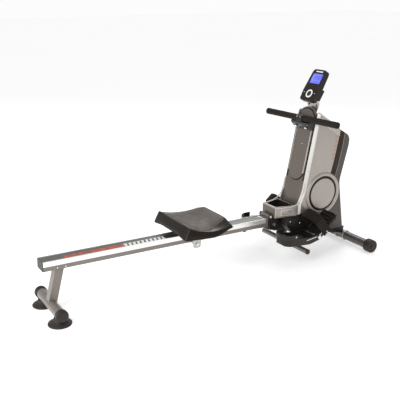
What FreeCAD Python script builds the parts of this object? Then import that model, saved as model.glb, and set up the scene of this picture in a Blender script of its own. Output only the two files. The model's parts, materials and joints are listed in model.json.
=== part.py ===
import FreeCAD, Part
import math
import os
import re

# A compact folding rowing machine. Millimetres, +X from the rail's rear end to the flywheel unit,
# +Y to the rower's left, +Z up, origin under the middle of the machine on the floor.

Vector = FreeCAD.Vector
Rotation = FreeCAD.Rotation
Placement = FreeCAD.Placement
AXIS_Y = Vector(0, 1, 0)

CELLS = {
    # stabilizers
    "rear_place": -892.5,
    "front_ahead": 1803,
    "tube_radius": 25,
    "tube_wall": 2,
    "rear_axis_height": 53,
    "rear_half": 134,
    "rear_cap_radius": 29.5,
    "rear_cap_long": 26,
    "foot_radius": 55,
    "foot_tall": 27.4,
    "foot_side": 109,
    "roller_radius": 37,
    "roller_long": 44,
    "front_half": 202,
    "spindle_radius": 8,
    # rail
    "hinge_ahead": 1222,
    "hinge_height": 263.5,
    "rail_slope": 1.09,
    "hinge_rise": 9,
    "rail_length": 1249,
    "rail_wide": 70,
    "rail_tall": 46,
    "rail_wall": 2,
    "rail_front_gap": 7,
    "sheath_wide": 74,
    "sheath_tall": 25,
    "sheath_front_gap": 24,
    "track_wide": 64,
    "track_deep": 3,
    "post_wide": 40,
    "post_lean": 15,
    "post_long": 147,
    "hinge_pin_radius": 4,
    "knuckle_radius": 8,
    # seat, along the rail from the hinge
    "seat_back": -460,
    "seat_wide": 350,
    "seat_deep": 278,
    "seat_thick": 58,
    "seat_corner": 38,
    "seat_dish": 16,
    "pan_thick": 6,
    "carriage_long": 150,
    "carriage_inside": 84,
    "plate_thick": 3,
    "wheel_radius": 12.5,
    "wheel_wide": 12,
    "wheel_side": 20,
    "wheel_spread": 50,
    "axle_radius": 4,
    # main frame
    "beam_long": 532,
    "beam_wide": 50,
    "beam_tall": 40,
    "beam_drop": 12.5,
    "mast_wide": 40,
    "mast_tall": 585,
    "cross_radius": 14,
    "cross_half": 192,
    "cross_height": 82,
    "cross_ahead": 1366,
    # pedals
    "pedal_ahead": 1420,
    "pedal_height": 165,
    "pedal_side": 160,
    "pedal_wide": 112,
    "pedal_wall": 6,
    "pedal_axle_radius": 7,
    "strap_wide": 56,
    "strap_thick": 3,
    "strap_lean": 40,
    # housing
    "face_half": 75,
    "cover_half": 93,
    "cover_wall": 3,
    "ring_half": 100,
    "ring_radius": 119,
    "disc_radius": 90,
    "well_radius": 98,
    "wheel_ahead": 1540,
    "wheel_height": 357,
    "shroud_half": 68,
    "shroud_wall": 4,
    # drive
    "flywheel_radius": 92,
    "flywheel_thick": 22,
    "pulley_ahead": 1575,
    "pulley_height": 570,
    "pulley_radius": 57,
    "reel_radius": 26,
    # handle
    "handle_ahead": 1440,
    "handle_height": 773,
    "handle_half": 262,
    "handle_yaw": 5,
    "grip_radius": 17,
    "handle_tube_radius": 12.5,
    # console
    "console_ahead": 1514,
    "console_height": 942,
    "console_lean": 30.8,
    "console_half": 60,
    "console_long": 182,
    "console_thick": 24,
}

doc = FreeCAD.newDocument("rowing_machine")
sheet = doc.addObject("Spreadsheet::Sheet", "Dims")
for row, (alias, amount) in enumerate(CELLS.items(), start=1):
    sheet.set(f"A{row}", alias)
    sheet.set(f"B{row}", str(amount))
    sheet.setAlias(f"B{row}", alias)
doc.recompute()

nodes = []


def size(alias):
    """The number that the sheet holds under this alias."""
    return float(sheet.get(alias))


def bound(formula):
    """A formula in aliases, written the way FreeCAD's expressions name the sheet's cells."""
    return re.sub(r"[a-z]\w*", lambda word: f"Dims.{word.group(0)}", formula)


def ahead(distance):
    """X of a point this far ahead of the rear stabilizer's axis."""
    return size("rear_place") + distance


def add(kind, at=(0, 0, 0), turn=0, about=AXIS_Y, **sizes):
    """A Part primitive with its sizes bound to the sheet."""
    made = doc.addObject(kind, "Solid")
    for name, formula in sizes.items():
        made.setExpression(name, bound(formula))
    made.Placement = Placement(Vector(*at), Rotation(about, turn))
    return made


def rod(x, z, radius, half, middle=0):
    """A cylinder along Y, centred on middle; radius and half are formulas."""
    made = doc.addObject("Part::Cylinder", "Solid")
    made.setExpression("Radius", bound(radius))
    made.setExpression("Height", bound(f"2 * ({half})"))
    doc.recompute()
    turn = Rotation(Vector(1, 0, 0), 90)
    made.Placement = Placement(Vector(x, middle + made.Height.Value / 2, z), turn)
    return made


def block(low, high):
    """A box between two corners given in numbers worked out from the sheet."""
    made = doc.addObject("Part::Box", "Solid")
    made.Length = high[0] - low[0]
    made.Width = high[1] - low[1]
    made.Height = high[2] - low[2]
    made.Placement.Base = Vector(*low)
    return made


def cut(base, *tools):
    """The base with every tool taken away."""
    for tool in tools:
        made = doc.addObject("Part::Cut", "Cut")
        made.Base = base
        made.Tool = tool
        base = made
    return base


def fuse(*solids):
    """One solid, or one group of separate solids."""
    made = doc.addObject("Part::MultiFuse", "Union")
    made.Shapes = list(solids)
    made.Refine = True
    return made


def common(base, tool):
    """What two solids share."""
    made = doc.addObject("Part::Common", "Common")
    made.Base = base
    made.Tool = tool
    return made


def group(*solids):
    """Separate identical solids that share one node."""
    made = doc.addObject("Part::Compound", "Group")
    made.Links = list(solids)
    return made


def node(label, made, place=None):
    """Names a finished sub-part and lists it for export."""
    made.Label = label
    if place is not None:
        made.Placement = place.multiply(made.Placement)
    nodes.append(made)
    return made


def rounded(points):
    """Lines and arcs of a closed outline; each point is (x, z, corner radius)."""
    corners = []
    for index, (x, z, radius) in enumerate(points):
        here = Vector(x, z, 0)
        before = Vector(*points[index - 1][:2], 0) - here
        after = Vector(*points[(index + 1) % len(points)][:2], 0) - here
        half = before.getAngle(after) / 2
        if radius <= 0 or half > math.radians(89.5):
            corners.append((here, None, here))
            continue
        reach = radius / math.tan(half)
        before.normalize()
        after.normalize()
        middle = before + after
        middle.normalize()
        depth = radius / math.sin(half) - radius
        corners.append((here + before * reach, here + middle * depth, here + after * reach))
    pieces = []
    for index, (start, bend, end) in enumerate(corners):
        if bend is not None:
            pieces.append(Part.Arc(start, bend, end))
        following = corners[(index + 1) % len(corners)][0]
        if end.distanceToPoint(following) > 1e-6:
            pieces.append(Part.LineSegment(end, following))
    return pieces


def inset(points, distance):
    """The outline moved inwards by a distance; the points run clockwise or anticlockwise."""
    count = len(points)
    area = sum(points[i - 1][0] * points[i][1] - points[i][0] * points[i - 1][1] for i in range(count))
    side = 1 if area > 0 else -1
    moved = []
    for index in range(count):
        here = Vector(*points[index][:2], 0)
        arrive = here - Vector(*points[index - 1][:2], 0)
        leave = Vector(*points[(index + 1) % count][:2], 0) - here
        arrive.normalize()
        leave.normalize()
        normal_in = Vector(-arrive.y, arrive.x, 0) * side
        normal_out = Vector(-leave.y, leave.x, 0) * side
        shift = (normal_in + normal_out) * (distance / (1 + normal_in.dot(normal_out)))
        turning = arrive.cross(leave).z * side
        radius = points[index][2]
        radius = max(radius - distance, 0.5) if turning > 0 else radius + distance
        moved.append((here.x + shift.x, here.y + shift.y, radius))
    return moved


def sketch_on(body, plane, pieces, offset=0):
    """A sketch on one of the body's own origin planes."""
    sketch = body.newObject("Sketcher::SketchObject", "Outline")
    origin_plane = next(f for f in body.Origin.OriginFeatures if f.Role == plane)
    sketch.AttachmentSupport = [(origin_plane, "")]
    sketch.MapMode = "FlatFace"
    sketch.AttachmentOffset = Placement(Vector(0, 0, offset), Rotation())
    sketch.addGeometry(pieces, False)
    return sketch


def pad(pieces, thickness, plane="XZ_Plane", place=None):
    """A body padded symmetrically from an outline; thickness is a formula."""
    body = doc.addObject("PartDesign::Body", "Body")
    sketch = sketch_on(body, plane, pieces)
    feature = body.newObject("PartDesign::Pad", "Pad")
    feature.Profile = sketch
    feature.SideType = "Symmetric"
    feature.setExpression("Length", bound(thickness))
    if place is not None:
        body.Placement = place
    return body


def along_y(middle):
    """A placement that only moves along Y."""
    return Placement(Vector(0, middle, 0), Rotation())


def spots(points):
    """Outline points measured ahead of the rear stabilizer, as X and Z of the machine."""
    return [(ahead(x), z, radius) for x, z, radius in points]


SIDES = (("right", -1), ("left", 1))

RAIL = Placement(
    Vector(ahead(size("hinge_ahead")), 0, size("hinge_height")),
    Rotation(AXIS_Y, size("rail_slope")),
)
RAIL_TOP = -size("hinge_rise")


def rear_support():
    """Stabilizer tube, caps and feet under the rail's rear end, and the leaning post."""
    x = ahead(0)
    z = size("rear_axis_height")
    tube = cut(
        rod(x, z, "tube_radius", "rear_half"),
        rod(x, z, "tube_radius - tube_wall", "rear_half + 1"),
    )
    node("rear_stabilizer", tube)
    caps = []
    feet = []
    for name, side in SIDES:
        middle = side * (size("rear_half") + size("rear_cap_long") / 2 - 3)
        cap = rod(x, z, "rear_cap_radius", "rear_cap_long / 2", middle)
        hole = rod(x, z, "tube_radius", "3", side * size("rear_half"))
        inner = side * (size("rear_half") - 3)
        behind = inner - side * 9
        lip = block((x - 40, min(inner, behind), z - 40), (x + 40, max(inner, behind), z + 40))
        caps.append(cut(cap, hole, lip))
        foot = doc.addObject("Part::Cone", "Foot")
        foot.setExpression("Radius1", "Dims.foot_radius")
        foot.setExpression("Radius2", "Dims.foot_radius * 0.45")
        foot.setExpression("Height", "Dims.foot_tall")
        foot.Placement.Base = Vector(x, side * size("foot_side"), 0)
        feet.append(cut(foot, rod(x, z, "tube_radius + 0.2", "rear_half"),
                        rod(x, z, "rear_cap_radius + 0.3", "rear_cap_long", middle)))
    node("rear_end_caps", group(*caps))
    node("rear_feet", group(*feet))
    lean = Rotation(AXIS_Y, size("post_lean"))
    half = size("post_wide") / 2
    outer = add("Part::Box", Length="post_wide", Width="post_wide", Height="post_long + 60")
    inner = add("Part::Box", Length="post_wide - 5", Width="post_wide - 5", Height="post_long + 60")
    outer.Placement = Placement(Vector(x, 0, z) - lean.multVec(Vector(half, half, 0)), lean)
    inner.Placement = Placement(Vector(x, 0, z) - lean.multVec(Vector(half - 2.5, half - 2.5, 0)), lean)
    rail_space = block((-1300, -100, RAIL_TOP - size("rail_tall") - 3), (200, 100, 100))
    underside = Vector(-1300, -100, RAIL_TOP - size("rail_tall") - 1)
    rail_space.Placement = RAIL.multiply(Placement(underside, Rotation()))
    post = cut(outer, inner, rod(x, z, "tube_radius + 0.02", "rear_half"), rail_space)
    node("rear_post", post)


def rail():
    """Painted box tube, aluminium sheath with its wheel track, strip, end cap and hinge knuckle."""
    back = -size("hinge_ahead") - 34
    front = -size("rail_front_gap")
    tall = size("rail_tall")
    low = RAIL_TOP - tall - 1
    tube = add("Part::Box", at=(back, -size("rail_wide") / 2, low + 0.02),
               Length="rail_length", Width="rail_wide", Height="rail_tall - 5.1")
    bore = add("Part::Box", at=(back - 1, -size("rail_wide") / 2 + 2, low + 2.02),
               Length="rail_length + 2", Width="rail_wide - 2 * rail_wall",
               Height="rail_tall - 5.1 - 2 * rail_wall")
    node("rail_tube", cut(tube, bore), RAIL)
    half = size("sheath_wide") / 2
    track = size("track_wide") / 2
    deep = size("track_deep")
    inner = size("rail_wide") / 2
    bottom = RAIL_TOP - size("sheath_tall")
    roof = RAIL_TOP - 6
    outline = [
        (-half, bottom, 0), (-half, RAIL_TOP, 2), (-track, RAIL_TOP, 1), (-track, RAIL_TOP - deep, 0.5),
        (track, RAIL_TOP - deep, 0.5), (track, RAIL_TOP, 1), (half, RAIL_TOP, 2), (half, bottom, 0),
        (inner, bottom, 0), (inner, roof, 0), (-inner, roof, 0), (-inner, bottom, 0),
    ]
    gap = size("sheath_front_gap")
    middle = (back - gap) / 2
    sheath = pad(rounded(outline), "hinge_ahead + 34 - sheath_front_gap", "YZ_Plane")
    node("rail_sheath", sheath, RAIL.multiply(Placement(Vector(middle, 0, 0), Rotation())))
    lid = pad(rounded([
        (-half, low, 6), (-half, RAIL_TOP, 6), (half, RAIL_TOP, 6), (half, low, 6)]), "3", "YZ_Plane")
    plug = block((back, -30, low + 6), (back + 22, 30, low + 34))
    lid.Placement = Placement(Vector(back - 1.5, 0, 0), Rotation())
    node("rail_end_cap", fuse(lid, plug), RAIL)
    leaf = block((-gap, -inner, RAIL_TOP - 5.9), (0, inner, RAIL_TOP - 2))
    barrel = rod(0, 0, "knuckle_radius", "rail_wide / 2")
    bridge = block((-6, -inner, RAIL_TOP - 5), (0, inner, -4))
    bore = rod(0, 0, "hinge_pin_radius + 0.05", "rail_wide")
    node("rail_hinge_knuckle", cut(fuse(leaf, barrel, bridge), bore), RAIL)
    stop = add("Part::Cylinder", at=(-137, 0, low - 18), Radius="9", Height="18")
    node("front_seat_stop", stop, RAIL)


def seat():
    """Cushion, pan, carriage and wheels, set out in the rail's own directions."""
    centre = size("seat_back")
    floor = RAIL_TOP - size("track_deep")
    wheel = floor + size("wheel_radius") + 0.05
    deck = floor + 2 * size("wheel_radius") + 1.5
    deep = size("seat_deep") / 2
    wide = size("seat_wide") / 2
    corner = size("seat_corner")
    shape = [
        (-deep, -wide * 0.93, 26), (-deep, wide * 0.93, 26), (0, wide + 6, 300),
        (deep, wide * 0.9, corner), (deep, -wide * 0.9, corner), (0, -wide - 6, 300)]
    cushion = pad(rounded(shape), "seat_thick", "XY_Plane")
    lift = deck + 3 + size("seat_thick") / 2
    dish = size("seat_dish")
    dish_radius = (deep * deep + dish * dish) / (2 * dish)
    hollow = add("Part::Cylinder", Radius=str(dish_radius), Height="seat_wide + 100")
    hollow.Placement = Placement(
        Vector(0, wide + 50, size("seat_thick") / 2 - dish + dish_radius), Rotation(Vector(1, 0, 0), 90))
    below = Placement(Vector(0, 0, -size("seat_thick") / 2), Rotation())
    recess = pad(rounded(inset(shape, 11.9)), "2 * pan_thick", "XY_Plane", below)
    place = RAIL.multiply(Placement(Vector(centre, 0, lift), Rotation()))
    node("seat_cushion", cut(cushion, hollow, recess), place)
    pan = pad(rounded(inset(shape, 12)), "pan_thick", "XY_Plane")
    pan_lift = deck + 3 + size("pan_thick") / 2
    node("seat_pan", pan, RAIL.multiply(Placement(Vector(centre, 0, pan_lift), Rotation())))
    half = size("carriage_inside") / 2
    long_half = size("carriage_long") / 2
    bottom = RAIL_TOP - size("rail_tall") - 34
    outer = pad(rounded([
        (centre - long_half, deck + 3, 2), (centre - long_half, wheel - 9, 8),
        (centre - 26, RAIL_TOP - 30, 30), (centre - 20, bottom, 10),
        (centre + 20, bottom, 10), (centre + 26, RAIL_TOP - 30, 30),
        (centre + long_half, wheel - 9, 8), (centre + long_half, deck + 3, 2)]),
        "carriage_inside + 2 * plate_thick")
    space = block((centre - 200, -half, bottom - 10), (centre + 200, half, deck))
    spread = size("wheel_spread")
    under = RAIL_TOP - size("rail_tall") - 1 - size("wheel_radius") - 0.3
    places = ((-spread, wheel), (spread, wheel), (0, under))
    bores = [rod(centre + dx, z, "axle_radius + 0.02", "80") for dx, z in places]
    node("seat_carriage", cut(outer, space, *bores), RAIL)
    axles = []
    for dx, z in places:
        axles.append(rod(centre + dx, z, "axle_radius", "carriage_inside / 2 + plate_thick + 4"))
        for side in (-1, 1):
            edge = side * (half + size("plate_thick") + 3)
            axles.append(rod(centre + dx, z, "axle_radius + 3", "2.5", edge))
    node("seat_axles", fuse(*axles), RAIL)
    names = ("seat_wheels_rear", "seat_wheels_front", "seat_wheels_under")
    for name, (dx, z) in zip(names, places):
        pair = []
        for side in (-1, 1):
            middle = side * size("wheel_side")
            pair.append(cut(rod(centre + dx, z, "wheel_radius", "wheel_wide / 2", middle),
                            rod(centre + dx, z, "axle_radius + 0.05", "wheel_wide", middle)))
        node(name, group(*pair), RAIL)


def hinge_bracket():
    """The frame's two black cheeks, the bumper between them, the hinge pin and the cross bolts."""
    x = size("hinge_ahead")
    z = size("hinge_height")
    outline = spots([
        (x - 9, z + 9, 8), (x + 9, z + 9, 8), (x + 13, z - 14, 6), (x + 56, z - 26, 8), (x + 70, z - 42, 4),
        (x + 66, z - 82, 6), (x - 3, z - 76, 6), (x - 3, z - 20, 6), (x - 9, z - 8, 4)])
    cheeks = []
    for name, side in SIDES:
        plate = pad(rounded(outline), "5", place=along_y(side * 41))
        cheeks.append(cut(
            plate,
            rod(ahead(x), z, "hinge_pin_radius + 0.02", "80"),
            rod(ahead(x + 25), z - 47, "5.02", "80")))
    node("hinge_bracket", group(*cheeks))
    pin = rod(ahead(x), z, "hinge_pin_radius", "47")
    heads = [rod(ahead(x), z, "7", "2", side * 46) for side in (-1, 1)]
    bumper = block((ahead(x - 6), -38, z - 74), (ahead(x + 36), 38, z - 22))
    node("rail_bumper", cut(bumper, rod(ahead(x + 25), z - 47, "5.02", "80")))
    bolt = rod(ahead(x + 25), z - 47, "5", "48")
    bolt_heads = [rod(ahead(x + 25), z - 47, "9", "3", side * 47) for side in (-1, 1)]
    node("hinge_bolts", fuse(pin, *heads, bolt, *bolt_heads))


BEAM_START = (1262, 192)


def beam_height(distance):
    """Height of the beam's centre line this far ahead of the rear stabilizer."""
    return BEAM_START[1] - (distance - BEAM_START[0]) * math.tan(math.radians(size("beam_drop")))


def sloped_box(length, width, height, start, rise=0):
    """A box along the beam's centre line; sizes are formulas, start is (ahead, height)."""
    made = add("Part::Box", Length=length, Width=width, Height=height)
    doc.recompute()
    turn = Rotation(AXIS_Y, size("beam_drop"))
    corner = turn.multVec(Vector(0, -made.Width.Value / 2, -made.Height.Value / 2 + rise))
    made.Placement = Placement(Vector(ahead(start[0]), 0, start[1]) + corner, turn)
    return made


def main_frame():
    """Front stabilizer with its rollers, the sloping beam, the mast and the lower cross bar."""
    x = ahead(size("front_ahead"))
    z = size("roller_radius")
    node("front_stabilizer", cut(
        rod(x, z, "tube_radius", "front_half"),
        rod(x, z, "tube_radius - tube_wall", "front_half + 1")))
    spindles = []
    for name, side in SIDES:
        middle = side * (size("front_half") + size("roller_long") / 2 + 1)
        roller = rod(x, z, "roller_radius", "roller_long / 2", middle)
        bore = rod(x, z, "spindle_radius + 0.05", "roller_long", middle)
        node(f"{name}_front_roller", cut(roller, bore))
        spindles.append(rod(x, z, "tube_radius - tube_wall - 0.02", "6", side * (size("front_half") - 7)))
        out = side * (size("front_half") + 21)
        spindles.append(rod(x, z, "spindle_radius", "roller_long / 2 + 4", out))
    node("roller_spindles", fuse(*spindles))
    beam = sloped_box("beam_long", "beam_wide", "beam_tall", BEAM_START)
    bore_start = (BEAM_START[0] - 5, BEAM_START[1] + 1)
    bore = sloped_box("beam_long + 20", "beam_wide - 6", "beam_tall - 6", bore_start)
    around = rod(x, z, "tube_radius + 0.1", "60")
    pedal_hole = rod(ahead(size("pedal_ahead")), size("pedal_height"), "pedal_axle_radius + 0.02", "60")
    bumper_space = block((ahead(1200), -60, 100), (ahead(1259), 60, 300))
    tube = cut(beam, bore, around, pedal_hole, bumper_space)
    saddle = cut(
        rod(x, z, "tube_radius + 4", "33"),
        rod(x, z, "tube_radius + 0.05", "34"),
        block((x - 60, -40, -5), (x + 60, 40, z)),
        sloped_box("beam_long + 60", "beam_wide + 1", "beam_tall + 1", BEAM_START))
    node("front_saddle", saddle)
    half = size("mast_wide") / 2
    mast_x = ahead(1660)
    foot = beam_height(1660)
    mast = add("Part::Box", at=(mast_x - half, -half, foot), Length="mast_wide", Width="mast_wide",
               Height="mast_tall")
    core = add("Part::Box", at=(mast_x - half + 2, -half + 2, foot - 1), Length="mast_wide - 4",
               Width="mast_wide - 4", Height="mast_tall - 1")
    clear = sloped_box("beam_long + 60", "beam_wide + 1", "beam_tall + 0.1", BEAM_START)
    node("mast", cut(mast, core, clear))
    bar_x = ahead(size("cross_ahead"))
    bar_z = size("cross_height")
    node("cross_bar", cut(
        rod(bar_x, bar_z, "cross_radius", "cross_half"),
        rod(bar_x, bar_z, "cross_radius - tube_wall", "cross_half + 1")))
    caps = []
    for name, side in SIDES:
        edge = side * size("cross_half")
        caps.append(fuse(
            rod(bar_x, bar_z, "cross_radius + 0.8", "2.5", edge + side * 2.5),
            rod(bar_x, bar_z, "cross_radius - tube_wall - 0.02", "6", edge - side * 5.9)))
    node("cross_bar_caps", group(*caps))
    plate = pad(rounded(spots([
        (1332, 180, 0), (1337, 180, 0), (1375, 96, 0), (1369, 92, 0)])), "beam_wide + 14")
    hanger = cut(plate, rod(bar_x, bar_z, "cross_radius + 0.05", "60"),
                 sloped_box("beam_long", "beam_wide + 40", "beam_tall", BEAM_START))
    node("base_beam", fuse(tube, hanger))


def pedal_parts():
    """Two shoe-shaped foot plates on one axle, each with a wide instep strap."""
    x = size("pedal_ahead")
    z = size("pedal_height")
    axle = rod(ahead(x), z, "pedal_axle_radius", "pedal_side + pedal_wide / 2 + 8")
    edge = size("pedal_side") + size("pedal_wide") / 2 + 5
    nuts = [rod(ahead(x), z, "11", "3", side * edge) for side in (-1, 1)]
    node("pedal_axle", fuse(axle, *nuts))
    outer = [
        (x - 222, z + 52, 10), (x - 226, z - 16, 14), (x - 60, z - 30, 60),
        (x + 10, z - 16, 60), (x + 128, z + 92, 8), (x + 122, z + 102, 4),
        (x + 30, z + 22, 40), (x - 60, z + 8, 60), (x - 170, z + 20, 30)]
    well = [
        (x - 250, z + 90, 0), (x - 250, z - 2, 0), (x - 56, z - 14, 60), (x - 4, z - 4, 60),
        (x + 150, z + 136, 0)]
    for name, side in SIDES:
        middle = side * size("pedal_side")
        solid = pad(rounded(spots(outer)), "pedal_wide", place=along_y(middle))
        heel = pad(rounded([
            (ahead(x - 217), middle - 50, 46), (ahead(x - 217), middle + 50, 46),
            (ahead(x + 200), middle + 50, 0), (ahead(x + 200), middle - 50, 0)]), "400", "XY_Plane",
            Placement(Vector(0, 0, 200), Rotation()))
        hollow = pad(rounded(spots(well)), "pedal_wide - 2 * pedal_wall", place=along_y(middle))
        inner = common(hollow, heel)
        plan = pad(rounded([
            (ahead(x - 226), middle - 56, 52), (ahead(x - 226), middle + 56, 52),
            (ahead(x + 132), middle + 56, 18), (ahead(x + 132), middle - 56, 18)]), "400", "XY_Plane",
            Placement(Vector(0, 0, 200), Rotation()))
        bore = rod(ahead(x), z, "pedal_axle_radius + 0.05", "100", middle)
        boss = rod(ahead(x), z, "14", "pedal_wide / 2", middle)
        lugs = cut(boss, block((ahead(x - 30), middle - 44, z - 40), (ahead(x + 30), middle + 44, z + 40)))
        shell = cut(common(solid, plan), inner)
        node(f"{name}_pedal", cut(fuse(shell, lugs), bore))
        thick = size("strap_thick")
        half = size("pedal_wide") / 2 + thick + 0.1
        arch = [(middle - half, z + 26, 0), (middle - half, z + 140, 42), (middle, z + 172, 60),
                (middle + half, z + 140, 42), (middle + half, z + 26, 0)]
        half -= thick
        shoulder = z + 140 - thick
        inside = [(middle - half, z + 10, 0), (middle - half, shoulder, 40), (middle, shoulder + 32, 58),
                  (middle + half, shoulder, 40), (middle + half, z + 10, 0)]
        lean = Rotation(AXIS_Y, -size("strap_lean"))
        pivot = Vector(ahead(x + 72), 0, z)
        place = Placement(pivot - lean.multVec(Vector(0, 0, z)), lean)
        band = pad(rounded(arch), "strap_wide", "YZ_Plane")
        opening = pad(rounded(inside), "strap_wide + 4", "YZ_Plane")
        node(f"{name}_pedal_strap", cut(band, opening), place)


COVER = [
    (1374, 252, 8), (1378, 322, 40), (1404, 380, 80), (1490, 815, 12), (1660, 706, 22),
    (1624, 536, 120), (1598, 440, 30), (1590, 290, 40), (1500, 252, 40)]


def slab(points, near, far, bevel):
    """A cover's solid between two distances from the middle plane, bevelled on its outer side."""
    body = doc.addObject("PartDesign::Body", "Body")
    base = sketch_on(body, "XZ_Plane", rounded(points), -near)
    top = sketch_on(body, "XZ_Plane", rounded(inset(points, bevel)), -far)
    loft = body.newObject("PartDesign::AdditiveLoft", "Loft")
    loft.Profile = base
    loft.Sections = [top]
    loft.Ruled = True
    return body


def housing():
    """Two bevelled side covers with round lids, the face, the shroud, and the tray in the nose."""
    x = ahead(size("wheel_ahead"))
    z = size("wheel_height")
    near = size("face_half")
    far = size("cover_half")
    wall = size("cover_wall")
    points = spots(COVER)
    for name, side in SIDES:
        outer = slab(points, side * near, side * far, 16)
        inner = slab(inset(points, wall), side * (near - 1), side * (far - wall), 15)
        ring_mid = side * (near + size("ring_half")) / 2
        ring = rod(x, z, "ring_radius", "(ring_half - face_half) / 2", ring_mid)
        ring_core = rod(x, z, "ring_radius - cover_wall", "(ring_half - face_half) / 2 + 5", ring_mid)
        skin_mid = side * (far - 6)
        skin = rod(x, z, "ring_radius - 1", "1.5", skin_mid)
        well = rod(x, z, "well_radius", "20", side * (far + 12))
        lip = cut(rod(x, z, "ring_radius", "3.5", side * (size("ring_half") - 3.5)), well)
        window = rod(x, z, "ring_radius - 1", "30", side * far)
        shell = fuse(cut(outer, inner, window), cut(ring, ring_core))
        node(f"{name}_side_cover", fuse(shell, skin, lip))
        lid = rod(x, z, "disc_radius", "2.8", side * (far - 1.6))
        node(f"{name}_round_lid", lid)
    face_low = (1398, 350)
    face_high = (1494, 828)
    strip = pad(rounded(spots([
        (face_low[0], face_low[1], 0), (face_high[0], face_high[1], 0),
        (face_high[0] + 6, face_high[1], 0), (face_low[0] + 6, face_low[1], 0)])), "2 * face_half - 1")
    dome = pad(rounded([
        (-near, 300, 0), (-near, 828, 66), (near, 828, 66), (near, 300, 0)]), "400", "YZ_Plane",
        Placement(Vector(ahead(1450), 0, 0), Rotation()))
    slot_height = size("handle_height")
    slot = block((ahead(1440), -30, slot_height - 8), (ahead(1520), 30, slot_height + 8))
    node("face_panel", cut(common(strip, dome), slot))
    outline = spots([
        (1502, 800, 0), (1662, 700, 40), (1742, 652, 44), (1736, 600, 60), (1684, 400, 120), (1729, 120, 4),
        (1575, 120, 6), (1560, 158, 10), (1584, 222, 20), (1584, 420, 60), (1600, 690, 10)])
    outer = pad(rounded(outline), "2 * shroud_half")
    inner = pad(rounded(inset(outline, size("shroud_wall"))), "2 * shroud_half - 2 * shroud_wall")
    mast_space = block((ahead(1636), -24, 90), (ahead(1684), 24, 720))
    beam_space = sloped_box("beam_long + 60", "beam_wide + 6", "beam_tall + 6", BEAM_START)
    open_half = size("shroud_half") - size("shroud_wall")
    rear_opening = block((ahead(1490), -open_half, 232), (ahead(1640), open_half, 720))
    node("front_shroud", cut(outer, inner, mast_space, beam_space, rear_opening))
    nose = [
        (ahead(1240), -57, 10), (ahead(1240), 57, 10), (ahead(1372), 86, 4), (ahead(1372), -86, 4)]
    tall = Placement(Vector(0, 0, 283), Rotation())
    shell = pad(rounded(nose), "62", "XY_Plane", tall)
    room = pad(rounded(inset(nose, 5)), "62", "XY_Plane", Placement(Vector(0, 0, 289), Rotation()))
    divider = block((ahead(1244), -1.5, 258), (ahead(1366), 1.5, 300))
    node("nose_tray", fuse(cut(shell, room), divider))


def drive():
    """Flywheel, its axle and bearings, the strap reel pulley, belt and magnet brake."""
    x = ahead(size("wheel_ahead"))
    z = size("wheel_height")
    rim = rod(x, z, "flywheel_radius", "flywheel_thick / 2", 22)
    web_left = rod(x, z, "flywheel_radius - 14", "5", 22 + 11)
    web_right = rod(x, z, "flywheel_radius - 14", "5", 22 - 11)
    hub = rod(x, z, "16", "24", 14)
    small = rod(x, z, "20", "6", -16)
    bore = rod(x, z, "6.05", "80")
    node("flywheel", cut(fuse(cut(rim, web_left, web_right), hub, small), bore))
    flywheel_axle = rod(x, z, "6", "60")
    forks = []
    for side in (-1, 1):
        plate = pad(rounded(spots([(1528, 345, 8), (1528, 369, 8), (1638, 395, 0), (1638, 345, 0)])), "4",
                    place=along_y(side * 46))
        low, high = sorted((side * 20.1, side * 48))
        foot = block((ahead(1636), low, 345), (ahead(1640), high, 395))
        mast_space = block((ahead(1640), -60, 300), (ahead(1700), 60, 400))
        forks.append(cut(fuse(plate, foot), rod(x, z, "6.02", "80"), mast_space))
    px = ahead(size("pulley_ahead"))
    pz = size("pulley_height")
    wheel = rod(px, pz, "pulley_radius", "6", -16)
    reel = rod(px, pz, "reel_radius", "27", 18)
    flange = rod(px, pz, "reel_radius + 14", "1.5", 46)
    node("drive_pulley", cut(fuse(wheel, reel, flange), rod(px, pz, "6.05", "90")))
    pulley_axle = rod(px, pz, "6", "60")
    plates = []
    for side in (-1, 1):
        plate = pad(rounded(spots([(1563, 560, 8), (1563, 584, 8), (1642, 600, 0), (1642, 545, 0)])), "4",
                    place=along_y(side * 54))
        mast_space = block((ahead(1640), -20.1, 500), (ahead(1700), 20.1, 700))
        plates.append(cut(plate, rod(px, pz, "6.02", "90"), mast_space))
    tie = block((ahead(1636.5), -56, 560), (ahead(1640), 56, 585))
    belt_run()
    shoe = pad(rounded(spots([
        (1484, 453, 3), (1494, 472, 8), (1632, 474, 6), (1632, 458, 6), (1585, 453, 3), (1570, 458, 4),
        (1505, 458, 4)])), "34", place=along_y(22))
    pivot = (ahead(1625), 466)
    node("magnet_shoe", cut(shoe, rod(*pivot, "4.05", "80")))
    tab = pad(rounded(spots([(1615, 456, 4), (1615, 476, 4), (1640, 476, 0), (1640, 456, 0)])), "3",
              place=along_y(2.5))
    node("drive_brackets", fuse(cut(tab, rod(*pivot, "4.02", "80")), *forks, *plates, tie))
    node("drive_axles", fuse(flywheel_axle, pulley_axle, rod(*pivot, "4", "20", 20)))


def belt_run():
    """A flat belt round the big pulley and the flywheel's small one."""
    high = Vector(ahead(size("pulley_ahead")), size("pulley_height"), 0)
    low = Vector(ahead(size("wheel_ahead")), size("wheel_height"), 0)
    big = size("pulley_radius") + 0.3
    small = 20.3

    def loop(extra):
        large = big + extra
        little = small + extra
        along = low - high
        distance = along.Length
        along.normalize()
        across = Vector(-along.y, along.x, 0)
        cosine = (large - little) / distance
        sine = math.sqrt(1 - cosine * cosine)
        one = along * cosine + across * sine
        two = along * cosine - across * sine
        return [
            Part.Arc(high + one * large, high - along * large, high + two * large),
            Part.LineSegment(high + two * large, low + two * little),
            Part.Arc(low + two * little, low + along * little, low + one * little),
            Part.LineSegment(low + one * little, high + one * large)]

    belt = cut(pad(loop(2), "10", place=along_y(-16)), pad(loop(0), "14", place=along_y(-16)))
    node("drive_belt", belt)


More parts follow.
